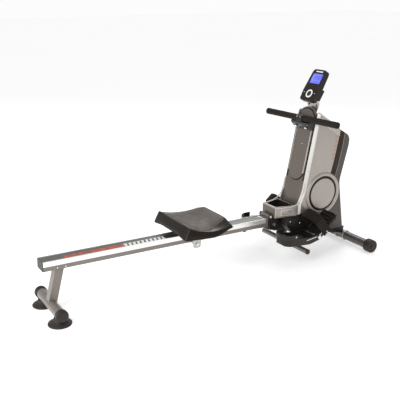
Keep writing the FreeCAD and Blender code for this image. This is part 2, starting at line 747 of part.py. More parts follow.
def handle_parts():
    """Handle bar with its foam grips, the clamp and stub of the pull strap, the rest and guide."""
    x = ahead(size("handle_ahead"))
    z = size("handle_height")
    yaw = Placement(Vector(), Rotation(Vector(0, 0, 1), size("handle_yaw")), Vector(x, 0, z))
    bar = rod(x, z, "handle_tube_radius", "handle_half - 3")
    bar_bore = rod(x, z, "handle_tube_radius - 2", "handle_half")
    node("handle_bar", cut(bar, bar_bore), yaw)
    grips = []
    ends = []
    for name, side in SIDES:
        middle = side * (size("handle_half") + 22) / 2
        grips.append(cut(
            rod(x, z, "grip_radius", "(handle_half - 28) / 2", middle),
            rod(x, z, "handle_tube_radius + 0.05", "handle_half", middle)))
        ends.append(rod(x, z, "grip_radius", "1.5", side * (size("handle_half") - 1.5)))
    node("handle_grips", fuse(*grips, *ends), yaw)
    clamp = pad(rounded([
        (x - 19, z - 17, 6), (x - 19, z + 18, 6), (x + 21, z + 12, 6), (x + 21, z - 12, 6)]), "40")
    node("strap_clamp", cut(clamp, rod(x, z, "handle_tube_radius + 0.05", "80")), yaw)
    stub = block((x + 23.2, -20, z - 1), (x + 42, 20, z + 1))
    node("pull_strap", stub)
    rest = pad(rounded(spots([
        (1458, 712, 4), (1430, 742, 5), (1430, 755.4, 4), (1468, 755.4, 2), (1474, 782, 2), (1483, 782, 0),
        (1469, 712, 0)])), "2 * face_half - 8")
    bolts = [add("Part::Cylinder", at=(ahead(1444), side * 40, 727), turn=-130, Radius="7", Height="5")
             for side in (-1, 1)]
    strap_slot = block((ahead(1460), -24, z - 6), (ahead(1490), 24, z + 20))
    node("handle_rest", cut(fuse(rest, *bolts), strap_slot))
    guide = rod(ahead(1505), z + 9.2, "8", "24")
    lower = rod(ahead(1505), z - 9.2, "8", "24")
    node("strap_guide_rollers", group(guide, lower))


def console_parts():
    """Console on its tilting bracket, with screen, ring button, side buttons and battery door."""
    lean = Rotation(AXIS_Y, size("console_lean"))
    place = Placement(Vector(ahead(size("console_ahead")), 0, size("console_height")), lean)
    half = size("console_long") / 2
    wide = size("console_half")
    thick = size("console_thick")
    shape = [(-wide + 5, -half, 18), (-wide, -half + 60, 40), (-wide + 9, half, 20), (wide - 9, half, 20),
             (wide, -half + 60, 40), (wide - 5, -half, 18)]
    case = pad(rounded(shape), "console_thick", "YZ_Plane", Placement(Vector(thick / 2, 0, 0), Rotation()))
    window = block((-1, -38, 10), (3, 38, 66))
    ring_hole = add("Part::Cylinder", at=(-1, 0, -50), turn=90, Radius="23.3", Height="6")
    button_holes = [add("Part::Cylinder", at=(-1, side * 40, -46), turn=90, Radius="6.3", Height="6")
                    for side in (-1, 1)]
    node("console_case", cut(case, window, ring_hole, *button_holes), place)
    screen = block((0.8, -37.8, 10.2), (2.9, 37.8, 65.8))
    node("console_screen", screen, place)
    outer = add("Part::Cylinder", at=(-2.5, 0, -50), turn=90, Radius="23", Height="6")
    core = add("Part::Cylinder", at=(-3, 0, -50), turn=90, Radius="15", Height="8")
    node("ring_button", cut(outer, core), place)
    centre = add("Part::Cylinder", at=(-2, 0, -50), turn=90, Radius="14.7", Height="5.5")
    node("centre_button", centre, place)
    for name, side in SIDES:
        made = add("Part::Cylinder", at=(-2, side * 40, -46), turn=90, Radius="6", Height="5.5")
        node(f"{name}_round_button", made, place)
    pivot = (ahead(1521), 861)
    back = block((thick + 0.05, -46, -68), (thick + 26, 46, -6))
    back.Placement = place.multiply(back.Placement)
    notches = [block((ahead(1500), side * 24 - 5, 845), (ahead(1545), side * 24 + 5, 875))
               for side in (-1, 1)]
    knuckle = fuse(cut(back, *notches), rod(*pivot, "7", "18"))
    node("battery_box", cut(knuckle, rod(*pivot, "3.05", "40")))
    plate = pad(rounded([(-26, 792, 6), (-54, 854, 10), (54, 854, 10), (26, 792, 6)]), "3", "YZ_Plane",
                Placement(Vector(ahead(1520), 0, 0), Rotation()))
    holes = [add("Part::Cylinder", at=(ahead(1500), y, 838), turn=90, Radius="6", Height="40")
             for y in (-30, 30)]
    ears = [block((ahead(1514), side * 24 - 3, 846), (ahead(1528), side * 24 + 3, 866))
            for side in (-1, 1)]
    node("console_bracket", fuse(cut(plate, *holes), *ears, rod(*pivot, "3", "28")))


rear_support()
rail()
seat()
hinge_bracket()
main_frame()
pedal_parts()
housing()
drive()
handle_parts()
console_parts()

doc.recompute()
for made in doc.Objects:
    if "Invalid" in made.State or "Error" in made.State:
        raise RuntimeError(f"{made.Label} did not compute")
os.makedirs("parts", exist_ok=True)
for made in nodes:
    if made.Shape.isNull() or not made.Shape.isValid():
        raise RuntimeError(f"{made.Label} has no sound shape")
    made.Shape.exportStep(f"parts/{made.Label}.step")
print(len(nodes), "nodes")
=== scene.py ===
import json
import math

import bmesh
import bpy
from mathutils import Matrix, Vector


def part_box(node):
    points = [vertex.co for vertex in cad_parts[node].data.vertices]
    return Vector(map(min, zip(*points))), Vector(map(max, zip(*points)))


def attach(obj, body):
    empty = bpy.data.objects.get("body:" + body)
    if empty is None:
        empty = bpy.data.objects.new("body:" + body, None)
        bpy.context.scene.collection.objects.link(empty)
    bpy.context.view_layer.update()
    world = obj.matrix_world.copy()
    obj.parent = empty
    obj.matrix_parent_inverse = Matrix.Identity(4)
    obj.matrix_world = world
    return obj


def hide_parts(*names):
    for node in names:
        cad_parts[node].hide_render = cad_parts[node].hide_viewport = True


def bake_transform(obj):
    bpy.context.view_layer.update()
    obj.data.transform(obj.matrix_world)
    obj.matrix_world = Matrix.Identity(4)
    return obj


# A compact folding rowing machine, dressed over its CAD frame. Metres, +X towards the flywheel unit.

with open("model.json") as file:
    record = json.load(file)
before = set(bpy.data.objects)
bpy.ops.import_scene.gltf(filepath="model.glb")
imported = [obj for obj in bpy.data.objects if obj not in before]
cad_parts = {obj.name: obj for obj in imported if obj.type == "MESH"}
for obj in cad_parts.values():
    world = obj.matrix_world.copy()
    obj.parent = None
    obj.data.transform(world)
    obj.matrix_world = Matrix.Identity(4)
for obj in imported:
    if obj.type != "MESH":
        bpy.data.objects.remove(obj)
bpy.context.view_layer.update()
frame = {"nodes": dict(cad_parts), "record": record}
NODES = frame["nodes"]
REAR_X = sum(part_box("rear_stabilizer"), Vector()).x / 2
SIDES = (("right", -1), ("left", 1))


def ahead(distance):
    """X of a point this far ahead of the rear stabilizer's axis."""
    return REAR_X + distance


def axes(origin, u, v, w):
    """A matrix whose columns are three directions, placed at an origin."""
    made = Matrix((u, v, w)).transposed().to_4x4()
    made.translation = Vector(origin)
    return made


def leaning(origin, degrees):
    """A frame at an origin, turned about +Y."""
    return Matrix.Translation(origin) @ Matrix.Rotation(math.radians(degrees), 4, "Y")


# Frames: outlines are drawn in each one's first two axes and built up along its third.
PLAN = Matrix.Identity(4)
RAIL_FRONT = 1.222
RAIL = leaning((ahead(RAIL_FRONT), 0, 0.2635), 1.09)
RAIL_FLOOR = -0.012
CONSOLE = leaning((ahead(1.514), 0, 0.942), 30.8) @ axes((0, 0, 0), (0, 1, 0), (0, 0, 1), (-1, 0, 0))
FACE_LOW = Vector((ahead(1.398), 0, 0.35))
FACE_UP = (Vector((ahead(1.494), 0, 0.828)) - FACE_LOW).normalized()
FACE = axes(FACE_LOW, (0, 1, 0), FACE_UP, (-FACE_UP.z, 0, FACE_UP.x))
RING = (ahead(1.54), 0, 0.357)


def side_frame(side):
    """Outlines in X and Z, built outwards along +Y or -Y."""
    return axes((REAR_X, 0, 0), (1, 0, 0), (0, 0, 1), (0, side, 0))


# ---- materials

NOISE_SPAN = (0.3, 0.7)  # the part of a noise's range that carries the change


class Shader:
    """A Principled material with helpers for its procedural inputs."""

    def __init__(self, name, roughness, metallic=0.0, coat=0.0, sheen=0.0, specular=0.5, tint=(1, 1, 1, 1)):
        self.made = bpy.data.materials.new(name)
        self.made.use_nodes = True
        self.tree = self.made.node_tree
        self.main = self.tree.nodes["Principled BSDF"]
        for socket, value in (("Roughness", roughness), ("Metallic", metallic), ("Coat Weight", coat),
                ("Coat Roughness", 0.15), ("Sheen Weight", sheen), ("Specular IOR Level", specular),
                ("Specular Tint", tint)):
            self.main.inputs[socket].default_value = value
        self.place = self.node("ShaderNodeTexCoord").outputs["Object"]

    def node(self, kind, **sockets):
        made = self.tree.nodes.new(kind)
        for name, value in sockets.items():
            made.inputs[name.replace("_", " ")].default_value = value
        return made

    def link(self, output, target):
        self.tree.links.new(output, target)

    def stretched(self, scale):
        made = self.node("ShaderNodeMapping", Scale=scale)
        self.link(self.place, made.inputs["Vector"])
        return made.outputs["Vector"]

    def noise(self, scale, detail=3.0, stretch=(1, 1, 1)):
        made = self.node("ShaderNodeTexNoise", Scale=scale, Detail=detail)
        self.link(self.stretched(stretch), made.inputs["Vector"])
        return made.outputs["Fac"]

    def cells(self, scale):
        made = self.node("ShaderNodeTexVoronoi", Scale=scale)
        made.feature = "DISTANCE_TO_EDGE"
        self.link(self.place, made.inputs["Vector"])
        return made.outputs["Distance"]

    def waves(self, scale, direction):
        made = self.node("ShaderNodeTexWave", Scale=scale)
        made.bands_direction = direction
        self.link(self.place, made.inputs["Vector"])
        return made.outputs["Fac"]

    def mix(self, factor, low, high):
        made = self.node("ShaderNodeValToRGB")
        for stop, position, colour in zip(made.color_ramp.elements, NOISE_SPAN, (low, high)):
            stop.position = position
            stop.color = (*colour, 1)
        self.link(factor, made.inputs["Fac"])
        return made.outputs["Color"]

    def span(self, factor, low, high):
        made = self.node("ShaderNodeMapRange", From_Min=NOISE_SPAN[0], From_Max=NOISE_SPAN[1], To_Min=low,
            To_Max=high)
        self.link(factor, made.inputs["Value"])
        return made.outputs["Result"]

    def multiply(self, one, two):
        made = self.node("ShaderNodeMath")
        made.operation = "MULTIPLY"
        self.link(one, made.inputs[0])
        self.link(two, made.inputs[1])
        return made.outputs["Value"]

    def bump(self, height, depth, strength=1.0, under=None):
        made = self.node("ShaderNodeBump", Strength=strength, Distance=depth)
        self.link(height, made.inputs["Height"])
        if under is not None:
            self.link(under, made.inputs["Normal"])
        return made.outputs["Normal"]

    def finish(self, colour=None, roughness=None, normal=None):
        for socket, output in (("Base Color", colour), ("Roughness", roughness), ("Normal", normal)):
            if output is not None:
                self.link(output, self.main.inputs[socket])
        return self.made

    def grained(self, colour, drift, rough, relief, under=None):
        """The finished material; the colour drifts, the roughness spans and the relief rises with noises."""
        factor, *amounts = drift
        dark, light = (tuple(min(1.0, channel * amount) for channel in colour) for amount in amounts)
        return self.finish(self.mix(factor, dark, light), self.span(*rough), self.bump(*relief, under))


WARM = (1.0, 0.86, 0.74, 1)


def painted(name, colour, roughness=0.38, metallic=0.35):
    """Metallic powder paint: fine flake, slow mottle and a slight orange peel."""
    made = Shader(name, roughness, metallic, coat=0.25)
    mottle = made.noise(9, 4)
    flake = made.multiply(made.noise(2600, 1), mottle)
    return made.grained(colour, (flake, 0.86, 1.16), (mottle, roughness - 0.05, roughness + 0.06),
        (made.noise(420, 2), 0.00012, 0.5))


def moulded(name, colour, roughness=0.5, grain=1100, depth=0.00012):
    """Moulded plastic or rubber: spark-eroded grain and a little colour drift."""
    made = Shader(name, roughness, specular=0.34, tint=WARM)
    fine = made.noise(grain, 2)
    return made.grained(
        colour, (made.noise(7, 4), 0.9, 1.1), (fine, roughness - 0.06, roughness + 0.06), (fine, depth, 0.6))


def brushed(name, colour, roughness=0.3, stretch=(4, 500, 500)):
    """Bare metal with a brushed direction."""
    made = Shader(name, roughness, 1.0)
    lines = made.noise(1.0, 4, stretch)
    return made.grained(colour, (made.noise(6, 3), 0.9, 1.04),
        (lines, roughness - 0.07, roughness + 0.09), (lines, 0.00006, 0.5))


def leather(name, colour, roughness, grain=620, depth=0.00022):
    """Artificial leather: pebble cells, soft creases and worn colour."""
    made = Shader(name, roughness, specular=0.34, tint=WARM)
    crease = made.noise(26, 5)
    return made.grained(colour, (made.noise(11, 3), 0.82, 1.2),
        (crease, roughness - 0.06, roughness + 0.08), (crease, 0.0008, 0.25),
        made.bump(made.cells(grain), depth, 0.7))


def foam(name, colour):
    """Closed-cell foam: open pores and a dull skin."""
    made = Shader(name, 0.86, sheen=0.03, specular=0.22, tint=WARM)
    drift = made.noise(30, 3)
    return made.grained(colour, (drift, 0.8, 1.25), (drift, 0.78, 0.92), (made.cells(900), 0.0004, 0.8))


def webbing(name, colour):
    """Woven strap: ribs across, threads along."""
    made = Shader(name, 0.82, sheen=0.04, specular=0.2, tint=WARM)
    weave = made.multiply(made.waves(150, "Y"), made.waves(130, "X"))
    return made.grained(colour, (weave, 0.6, 1.5), (made.noise(700, 3), 0.74, 0.9), (weave, 0.0004, 0.8))


def printed(name, colour, other, scale):
    """A printed film with soft blots of a second colour."""
    made = Shader(name, 0.35, specular=0.3)
    blots = made.noise(scale, 1, (1, 0.6, 1))
    fine = made.noise(900, 2)
    return made.finish(made.mix(blots, other, colour), made.span(fine, 0.3, 0.42),
        made.bump(fine, 0.00004, 0.4))


def glowing(name, low, high, strength):
    """A backlit display."""
    made = Shader(name, 0.12, coat=0.6)
    glow = made.noise(16, 2)
    colour = made.mix(glow, low, high)
    made.main.inputs["Emission Strength"].default_value = strength
    made.link(colour, made.main.inputs["Emission Color"])
    return made.finish(colour)


# the record's slots: how each look is made
SLOT_LOOKS = {
    "taupe_paint": (painted, (0.235, 0.205, 0.182)),
    "silver_shell": (painted, (0.445, 0.398, 0.36), 0.34, 0.5),
    "taupe_shell": (painted, (0.146, 0.119, 0.098), 0.42, 0.3),
    "dark_plastic": (moulded, (0.013, 0.0115, 0.0108), 0.4),
    "black_steel": (painted, (0.01, 0.009, 0.009), 0.4, 0.2),
    "aluminium_sheath": (brushed, (0.93, 0.92, 0.9), 0.34),
    "rubber_black": (moulded, (0.024, 0.0205, 0.0185), 0.5, 500, 0.0003),
    "bright_steel": (brushed, (0.72, 0.71, 0.69), 0.26, (160, 160, 160)),
    "seat_leather": (leather, (0.064, 0.05, 0.041), 0.44),
    "foam_grip": (foam, (0.015, 0.0125, 0.011)),
    "strap_webbing": (webbing, (0.0115, 0.0098, 0.0086)),
    "wheel_nylon": (moulded, (0.62, 0.61, 0.58), 0.45),
    "iron": (painted, (0.1, 0.1, 0.105), 0.5, 0.7),
    "screen_glass": (glowing, (0.085, 0.11, 0.62), (0.145, 0.18, 0.86), 0.55),
    "silver_plate": (painted, (0.6, 0.585, 0.565), 0.32, 0.7),
}
# further looks: the slot each belongs to, then how it is made
EXTRA_LOOKS = {
    "shroud_paint": ("taupe_shell", painted, (0.078, 0.062, 0.052), 0.42, 0.25),
    "dark_taupe_paint": ("taupe_paint", painted, (0.105, 0.088, 0.077), 0.36, 0.35),
    # painted highlight: a paler copy of the silver shell for lit bevels, rims, raised lines and edges
    "pearl_trim": ("silver_shell", painted, (0.74, 0.71, 0.675), 0.3, 0.3),
    "groove_dark": ("dark_plastic", moulded, (0.01, 0.0088, 0.008), 0.6),
    "seat_side": ("seat_leather", leather, (0.005, 0.0038, 0.003), 0.25, 900, 0.0001),
    "stitch_thread": ("strap_webbing", webbing, (0.42, 0.38, 0.34)),
    "track_grey": ("aluminium_sheath", brushed, (0.2, 0.2, 0.19), 0.42),
    "decal_red": ("aluminium_sheath", printed, (0.6, 0.085, 0.04), (0.17, 0.085, 0.055), 46),
    "decal_pale": ("aluminium_sheath", moulded, (0.8, 0.79, 0.76), 0.35),
    "decal_black": ("aluminium_sheath", moulded, (0.018, 0.018, 0.018), 0.3),
    "mark_red": ("silver_shell", moulded, (0.48, 0.27, 0.21), 0.4),
    "heel_band": ("rubber_black", moulded, (0.022, 0.02, 0.019), 0.42, 700, 0.0002),
    "lcd_segments": ("screen_glass", moulded, (0.05, 0.07, 0.28), 0.3),
    "vent_dark": ("dark_plastic", moulded, (0.034, 0.024, 0.018), 0.5, 300, 0.0004),
    "tread_grey": ("dark_plastic", moulded, (0.115, 0.105, 0.095), 0.26, 500, 0.0002),
    "white_enamel": ("silver_plate", moulded, (0.86, 0.86, 0.86), 0.3),
}
ROWS = SLOT_LOOKS | {name: row[1:] for name, row in EXTRA_LOOKS.items()}
LOOKS = {name: make(name, *values) for name, (make, *values) in ROWS.items()}

# nodes that don't wear their slot's look
SPECIAL = {
    "front_shroud": "shroud_paint",
    # painted shade: the beam is painted black to darken the hollow under the cover
    "base_beam": "black_steel",
    # painted shade: a darker copy of the taupe paint for the front stabilizer, which lies under the column
    "front_stabilizer": "dark_taupe_paint",
    "ring_button": "white_enamel",
    "left_round_button": "dark_plastic",
    "right_round_button": "dark_plastic",
}
for part in frame["record"]["subparts"]:
    for held in NODES[part["node"]].material_slots:
        held.material = LOOKS[SPECIAL.get(part["node"], part["material_slot"])]

# ---- softened edges on the CAD nodes that show

# bevel width: nodes
SOFTENED = {
    0.0022: "front_shroud console_case strap_clamp rear_post",
    0.0016: "rail_tube base_beam",
    0.0015: "battery_box rail_bumper mast front_seat_stop",
    0.0014: "handle_rest",
    0.0012: "seat_pan left_pedal right_pedal cross_bar_caps",
    0.001: "rail_end_cap ring_button roller_spindles seat_wheels_rear seat_wheels_front seat_wheels_under "
        "flywheel",
    0.0008: "face_panel hinge_bracket front_saddle pedal_axle hinge_bolts drive_pulley",
    0.0007: "centre_button left_round_button right_round_button",
    0.0006: "seat_carriage console_bracket seat_axles",
    0.0005: "rail_sheath",
}
for width, name in ((width, name) for width, names in SOFTENED.items() for name in names.split()):
    shown = NODES[name]
    weld = shown.modifiers.new("Weld", "WELD")
    weld.merge_threshold = 1e-6
    merge = shown.modifiers.new("Planar", "DECIMATE")
    merge.decimate_type = "DISSOLVE"
    merge.angle_limit = math.radians(0.5)
    edge = shown.modifiers.new("Edge", "BEVEL")
    edge.width = width
    edge.segments = 2
    edge.limit_method = "ANGLE"
    edge.angle_limit = math.radians(38)
    even = shown.modifiers.new("Even", "WEIGHTED_NORMAL")
    even.keep_sharp = True

# ---- mesh builders


def piece(name, verts, faces, body, looks, slot=None, smooth=40, replaces=(), pick=None):
    """A closed mesh piece that rides on a body; pick chooses a look for each face."""
    mesh = bpy.data.meshes.new(name)
    mesh.from_pydata([tuple(v) for v in verts], [], faces)
    looks = looks if isinstance(looks, list) else [looks]
    for look in looks:
        mesh.materials.append(LOOKS[look])
    tidy = bmesh.new()
    tidy.from_mesh(mesh)
    bmesh.ops.remove_doubles(tidy, verts=tidy.verts, dist=1e-6)
    bmesh.ops.recalc_face_normals(tidy, faces=tidy.faces)
    for face in tidy.faces:
        face.smooth = True
        if pick is not None:
            face.material_index = pick(face)
    for edge in tidy.edges:
        if len(edge.link_faces) == 2 and edge.calc_face_angle(0) > math.radians(smooth):
            edge.smooth = False
    tidy.to_mesh(mesh)
    tidy.free()
    return placed(name, mesh, body, replaces)


def placed(name, data, body, replaces=()):
    made = bpy.data.objects.new(name, data)
    bpy.context.scene.collection.objects.link(made)
    if body is not None:
        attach(made, body)
    if replaces:
        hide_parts(*replaces)
    return made


def oblong(u0, v0, u1, v1, radius=0):
    """A rectangle's outline between two opposite corners."""
    return [(u0, v0, radius), (u1, v0, radius), (u1, v1, radius), (u0, v1, radius)]


def slab(u, v, along, up, radius=0):
    """A parallelogram's outline: a corner and its two edges."""
    ends = ((0, 0), along, (along[0] + up[0], along[1] + up[1]), up)
    return [(u + du, v + dv, radius) for du, dv in ends]


def walls(count, levels, first=0):
    """Quads between each ring of a count of points and the next; first is the lowest ring's first point."""
    made = []
    for low in range(first, first + levels * count, count):
        for i in range(count):
            j = (i + 1) % count
            made.append((low + i, low + j, low + count + j, low + count + i))
    return made


def fillet(points, steps=8):
    """The outline's points with each corner turned into an arc; a corner is (u, v, radius)."""
    made = []
    count = len(points)
    for index, (u, v, radius) in enumerate(points):
        here = Vector((u, v))
        before = Vector(points[index - 1][:2]) - here
        after = Vector(points[(index + 1) % count][:2]) - here
        half = before.angle(after) / 2
        before.normalize()
        after.normalize()
        if radius <= 0 or half > math.radians(89.5):
            made.extend([here.copy() for _ in range(steps + 1)] if radius > 0 else [here])
            continue
        reach = radius / math.tan(half)
        middle = here + (before + after).normalized() * (radius / math.sin(half))
        start = here + before * reach - middle
        end = here + after * reach - middle
        turn = math.atan2(start.cross(end), start.dot(end))
        for step in range(steps + 1):
            angle = turn * step / steps
            c, s = math.cos(angle), math.sin(angle)
            made.append(middle + Vector((start.x * c - start.y * s, start.x * s + start.y * c)))
    return made


def inset(points, distance):
    """The outline's corners moved inwards by a distance."""
    count = len(points)
    area = sum(points[i - 1][0] * points[i][1] - points[i][0] * points[i - 1][1] for i in range(count))
    turn = 1 if area > 0 else -1
    moved = []
    for index, (u, v, radius) in enumerate(points):
        here = Vector((u, v))
        arrive = (here - Vector(points[index - 1][:2])).normalized()
        leave = (Vector(points[(index + 1) % count][:2]) - here).normalized()
        one = Vector((-arrive.y, arrive.x)) * turn
        two = Vector((-leave.y, leave.x)) * turn
        shift = (one + two) * (distance / (1 + one.dot(two)))
        inner = radius - distance if arrive.cross(leave) * turn > 0 else radius + distance
        moved.append((u + shift.x, v + shift.y, max(inner, 0.0002) if radius > 0 else 0))
    return moved


def stack(name, points, rings, place, body, looks, slot=None, steps=8, **options):
    """A solid built up from one outline; each ring is (inset, height), and both ends are closed."""
    verts = []
    for distance, height in rings:
        verts.extend(place @ Vector((p.x, p.y, height)) for p in fillet(inset(points, distance), steps))
    count = len(verts) // len(rings)
    faces = walls(count, len(rings) - 1)
    faces.append(tuple(range(count)))
    faces.append(tuple(range(len(verts) - count, len(verts))))
    return piece(name, verts, faces, body, looks, slot, **options)


def plate(name, points, low, high, place, body, look, slot=None, edge=0.0008, **options):
    """A flat plate with softened edges on its upper side."""
    rings = [(0, low), (0, high - edge), (edge * 0.3, high - edge * 0.3), (edge, high)]
    return stack(name, points, rings, place, body, look, slot, **options)


def lathe(name, profile, centre, axis, body, looks, slot=None, steps=72, **options):
    """A turned solid; the profile is (radius, distance along the axis), closed on the axis."""
    axis = Vector(axis).normalized()
    one = axis.orthogonal().normalized()
    two = axis.cross(one)
    centre = Vector(centre)
    verts = []
    rings = []
    for radius, along in profile:
        if radius < 1e-6:
            rings.append([len(verts)])
            verts.append(centre + axis * along)
            continue
        rings.append(list(range(len(verts), len(verts) + steps)))
        for step in range(steps):
            angle = 2 * math.pi * step / steps
            verts.append(centre + axis * along + (one * math.cos(angle) + two * math.sin(angle)) * radius)
    faces = []
    for low, high in zip(rings, rings[1:]):
        for i in range(steps):
            j = (i + 1) % steps
            corner = [low[i % len(low)], low[j % len(low)], high[j % len(high)], high[i % len(high)]]
            faces.append(tuple(dict.fromkeys(corner)))
    if len(rings[0]) > 1 and len(rings[-1]) > 1:
        for i in range(steps):
            j = (i + 1) % steps
            faces.append((rings[-1][i], rings[-1][j], rings[0][j], rings[0][i]))
    return piece(name, verts, faces, body, looks, slot, **options)


def band(name, path, across, thick, body, look, slot=None, **options):
    """A flat strap along a path; across is its full width as a direction."""
    across = Vector(across)
    half = across / 2
    verts = []
    for index, here in enumerate(path):
        here = Vector(here)
        ahead_of = Vector(path[min(index + 1, len(path) - 1)]) - Vector(path[max(index - 1, 0)])
        out = ahead_of.cross(across).normalized() * (thick / 2)
        edge = half * 0.97
        verts += [here + offset for offset in (-half, out - edge, edge + out, half, edge - out, -edge - out)]
    faces = walls(6, len(path) - 1)
    faces.append(tuple(range(6)))
    faces.append(tuple(range(len(verts) - 6, len(verts))))
    return piece(name, verts, faces, body, look, slot, smooth=50, **options)


def screw(name, centre, axis, radius, body, look="bright_steel"):
    """A domed socket-head screw."""
    hole = radius * 0.42
    profile = [
        (0, -radius * 0.1), (radius, -radius * 0.1), (radius, radius * 0.25), (radius * 0.85, radius * 0.55),
        (radius * 0.6, radius * 0.72), (hole, radius * 0.76), (hole, radius * 0.3), (0, radius * 0.25)]
    return lathe(name, profile, centre, axis, body, look, "bright_steel", steps=24)


def merged(name, parts):
    """Joins finished pieces of one look and one body into one piece."""
    mesh = bmesh.new()
    first = parts[0]
    for part in parts:
        mesh.from_mesh(part.data)
    made = bpy.data.meshes.new(name)
    for look in first.data.materials:
        made.materials.append(look)
    mesh.to_mesh(made)
    mesh.free()
    first.data = made
    for part in parts[1:]:
        bpy.data.objects.remove(part)
    first.name = name
    return first

# ---- column covers

COVER = [
    (1.374, 0.252, 0.008), (1.378, 0.322, 0.04), (1.404, 0.38, 0.08), (1.49, 0.815, 0.012),
    (1.66, 0.706, 0.022), (1.624, 0.536, 0.12), (1.598, 0.44, 0.03), (1.59, 0.29, 0.04),
    (1.5, 0.252, 0.04)]
COVER_RINGS = [
    (0.0008, 0.074), (0, 0.075), (0.0006, 0.0768), (0.0118, 0.0906), (0.0134, 0.092), (0.017, 0.093)]


def cover_look(face):
    """Index 1, the paler silver of a painted highlight, on the bevel strip."""
    return 1 if 0.35 < abs(face.normal.y) < 0.93 else 0


for name, side in SIDES:
    place = side_frame(side)
    stack(f"{name}_cover_shell", COVER, COVER_RINGS, place, "base", ["silver_shell", "pearl_trim"],
          smooth=24, replaces=[f"{name}_side_cover"], pick=cover_look)
    # round boss with a rolled rim, a dark ring and a domed lid
    out = (0, side, 0)
    boss = [
        (0.116, 0.069), (0.1184, 0.07), (0.1188, 0.093), (0.1182, 0.0962), (0.1164, 0.0985),
        (0.1135, 0.0996), (0.107, 0.0998), (0.102, 0.099), (0.099, 0.0968), (0.0978, 0.094), (0.0974, 0.088)]
    lathe(f"{name}_lid_rim", boss, RING, out, "base", "silver_shell", steps=112, smooth=60)
    well = [(0, 0.089), (0.0976, 0.089), (0.0976, 0.0936), (0.096, 0.094), (0.09, 0.0932), (0, 0.0932)]
    lathe(f"{name}_lid_well", well, RING, out, "base", "groove_dark", steps=96)
    dome = [
        (0, 0.0925), (0.0846, 0.0925), (0.0858, 0.0945), (0.0856, 0.0966), (0.084, 0.098), (0.0815, 0.0982),
        (0.08, 0.0974), (0.078, 0.0974), (0.06, 0.0986), (0.035, 0.0994), (0, 0.0998)]
    lathe(f"{name}_lid_disc", dome, RING, out, "base", "silver_shell", steps=96,
          replaces=[f"{name}_round_lid"])
    # raised lines beside the slanted top in paler silver as a painted highlight, and plain slanted dashes
    # along the front edge
    lines = []
    for step in range(3):
        drop = 0.024 + 0.011 * step
        start = (1.505 + 0.006 * step, 0.806 - drop - 0.004 * step)
        end = (1.64, 0.719 - drop)
        line = slab(*start, (end[0] - start[0], end[1] - start[1]), (0, -0.0048), 0.0008)
        lines.append(plate("line", line, 0.092, 0.095, place, "base", "pearl_trim", steps=3))
    merged(f"{name}_cover_lines", lines)
    dashes = []
    for step in range(6):
        z = 0.655 - 0.0235 * step
        x = 1.6255 - 0.0052 * step
        dash = slab(x - 0.009, z, (0.015, 0.006), (0, 0.013), 0.001)
        dashes.append(plate("dash", dash, 0.0924, 0.0934, place, "base", "mark_red",
                            edge=0.0003, steps=2))
    merged(f"{name}_cover_dashes", dashes)
    # dark ribbed vent strip on the shroud behind the cover
    strip = [
        (1.662, 0.7, 0.004), (1.698, 0.676, 0.018), (1.686, 0.6, 0.08), (1.662, 0.49, 0.08),
        (1.64, 0.425, 0.01), (1.6, 0.44, 0.01), (1.62, 0.52, 0.04)]
    plate(f"{name}_vent_strip", strip, 0.066, 0.069, place, "base", "vent_dark")
    ribs = []
    for step in range(24):
        z = 0.452 + 0.0095 * step
        x = 1.642 + (z - 0.452) * 0.196
        rib = slab(x - 0.016, z, (0.028, 0.004), (0, 0.0035))
        ribs.append(plate("rib", rib, 0.0686, 0.0706, place, "base", "vent_dark", steps=2))
    merged(f"{name}_vent_ribs", ribs)
    ridge = [(1.696, 0.672, 0.002), (1.702, 0.674, 0.002), (1.692, 0.6, 0.06), (1.666, 0.486, 0.06),
        (1.648, 0.432, 0.002), (1.643, 0.434, 0.002), (1.66, 0.486, 0.06), (1.686, 0.6, 0.06)]
    plate(f"{name}_vent_ridge", ridge, 0.066, 0.0715, place, "base", "taupe_paint", "taupe_shell",
        edge=0.0015)
    # rim that runs from the cover's bevel down and back along the tray, a thin line of painted highlight
    route = [
        (1.416, 0.0835, 0.43), (1.403, 0.0838, 0.372), (1.388, 0.0845, 0.337), (1.368, 0.0846, 0.317),
        (1.335, 0.0775, 0.3085), (1.29, 0.0675, 0.308), (1.244, 0.0565, 0.308)]
    line = bpy.data.curves.new(f"{name}_flow", "CURVE")
    line.dimensions = "3D"
    line.bevel_depth = 0.0034
    line.bevel_resolution = 5
    line.use_fill_caps = True
    spline = line.splines.new("NURBS")
    spline.points.add(len(route) - 1)
    for point, (x, y, z) in zip(spline.points, route):
        point.co = (ahead(x), y * side, z, 1)
    spline.order_u = 3
    spline.use_endpoint_u = True
    line.materials.append(LOOKS["pearl_trim"])
    placed(f"{name}_flow_rim", line, "base")

# ---- column face

panel = [(-0.058, 0.09, 0.056), (0.058, 0.09, 0.056), (0.0585, 0.405, 0.01), (0.056, 0.44, 0.04),
    (0.03, 0.476, 0.04), (-0.03, 0.476, 0.04), (-0.056, 0.44, 0.04), (-0.0585, 0.405, 0.01)]
# a thin dark outline round the raised panel: painted shade at its edge
stack("face_groove", inset(panel, -0.006), [(0, 0.0002), (0, 0.0007), (0.0002, 0.0009)], FACE, "base",
    "groove_dark")
stack("face_raised_panel", panel, [(0, 0.0006), (0, 0.0042), (0.0006, 0.0058), (0.0022, 0.0068),
    (0.006, 0.0071)], FACE, "base", "taupe_shell", smooth=60)
stack("face_skirt", oblong(-0.0745, -0.09, 0.0745, 0.092),
      [(0, -0.004), (0, 0.0001), (0.0003, 0.0003)], FACE, "base", "taupe_shell")
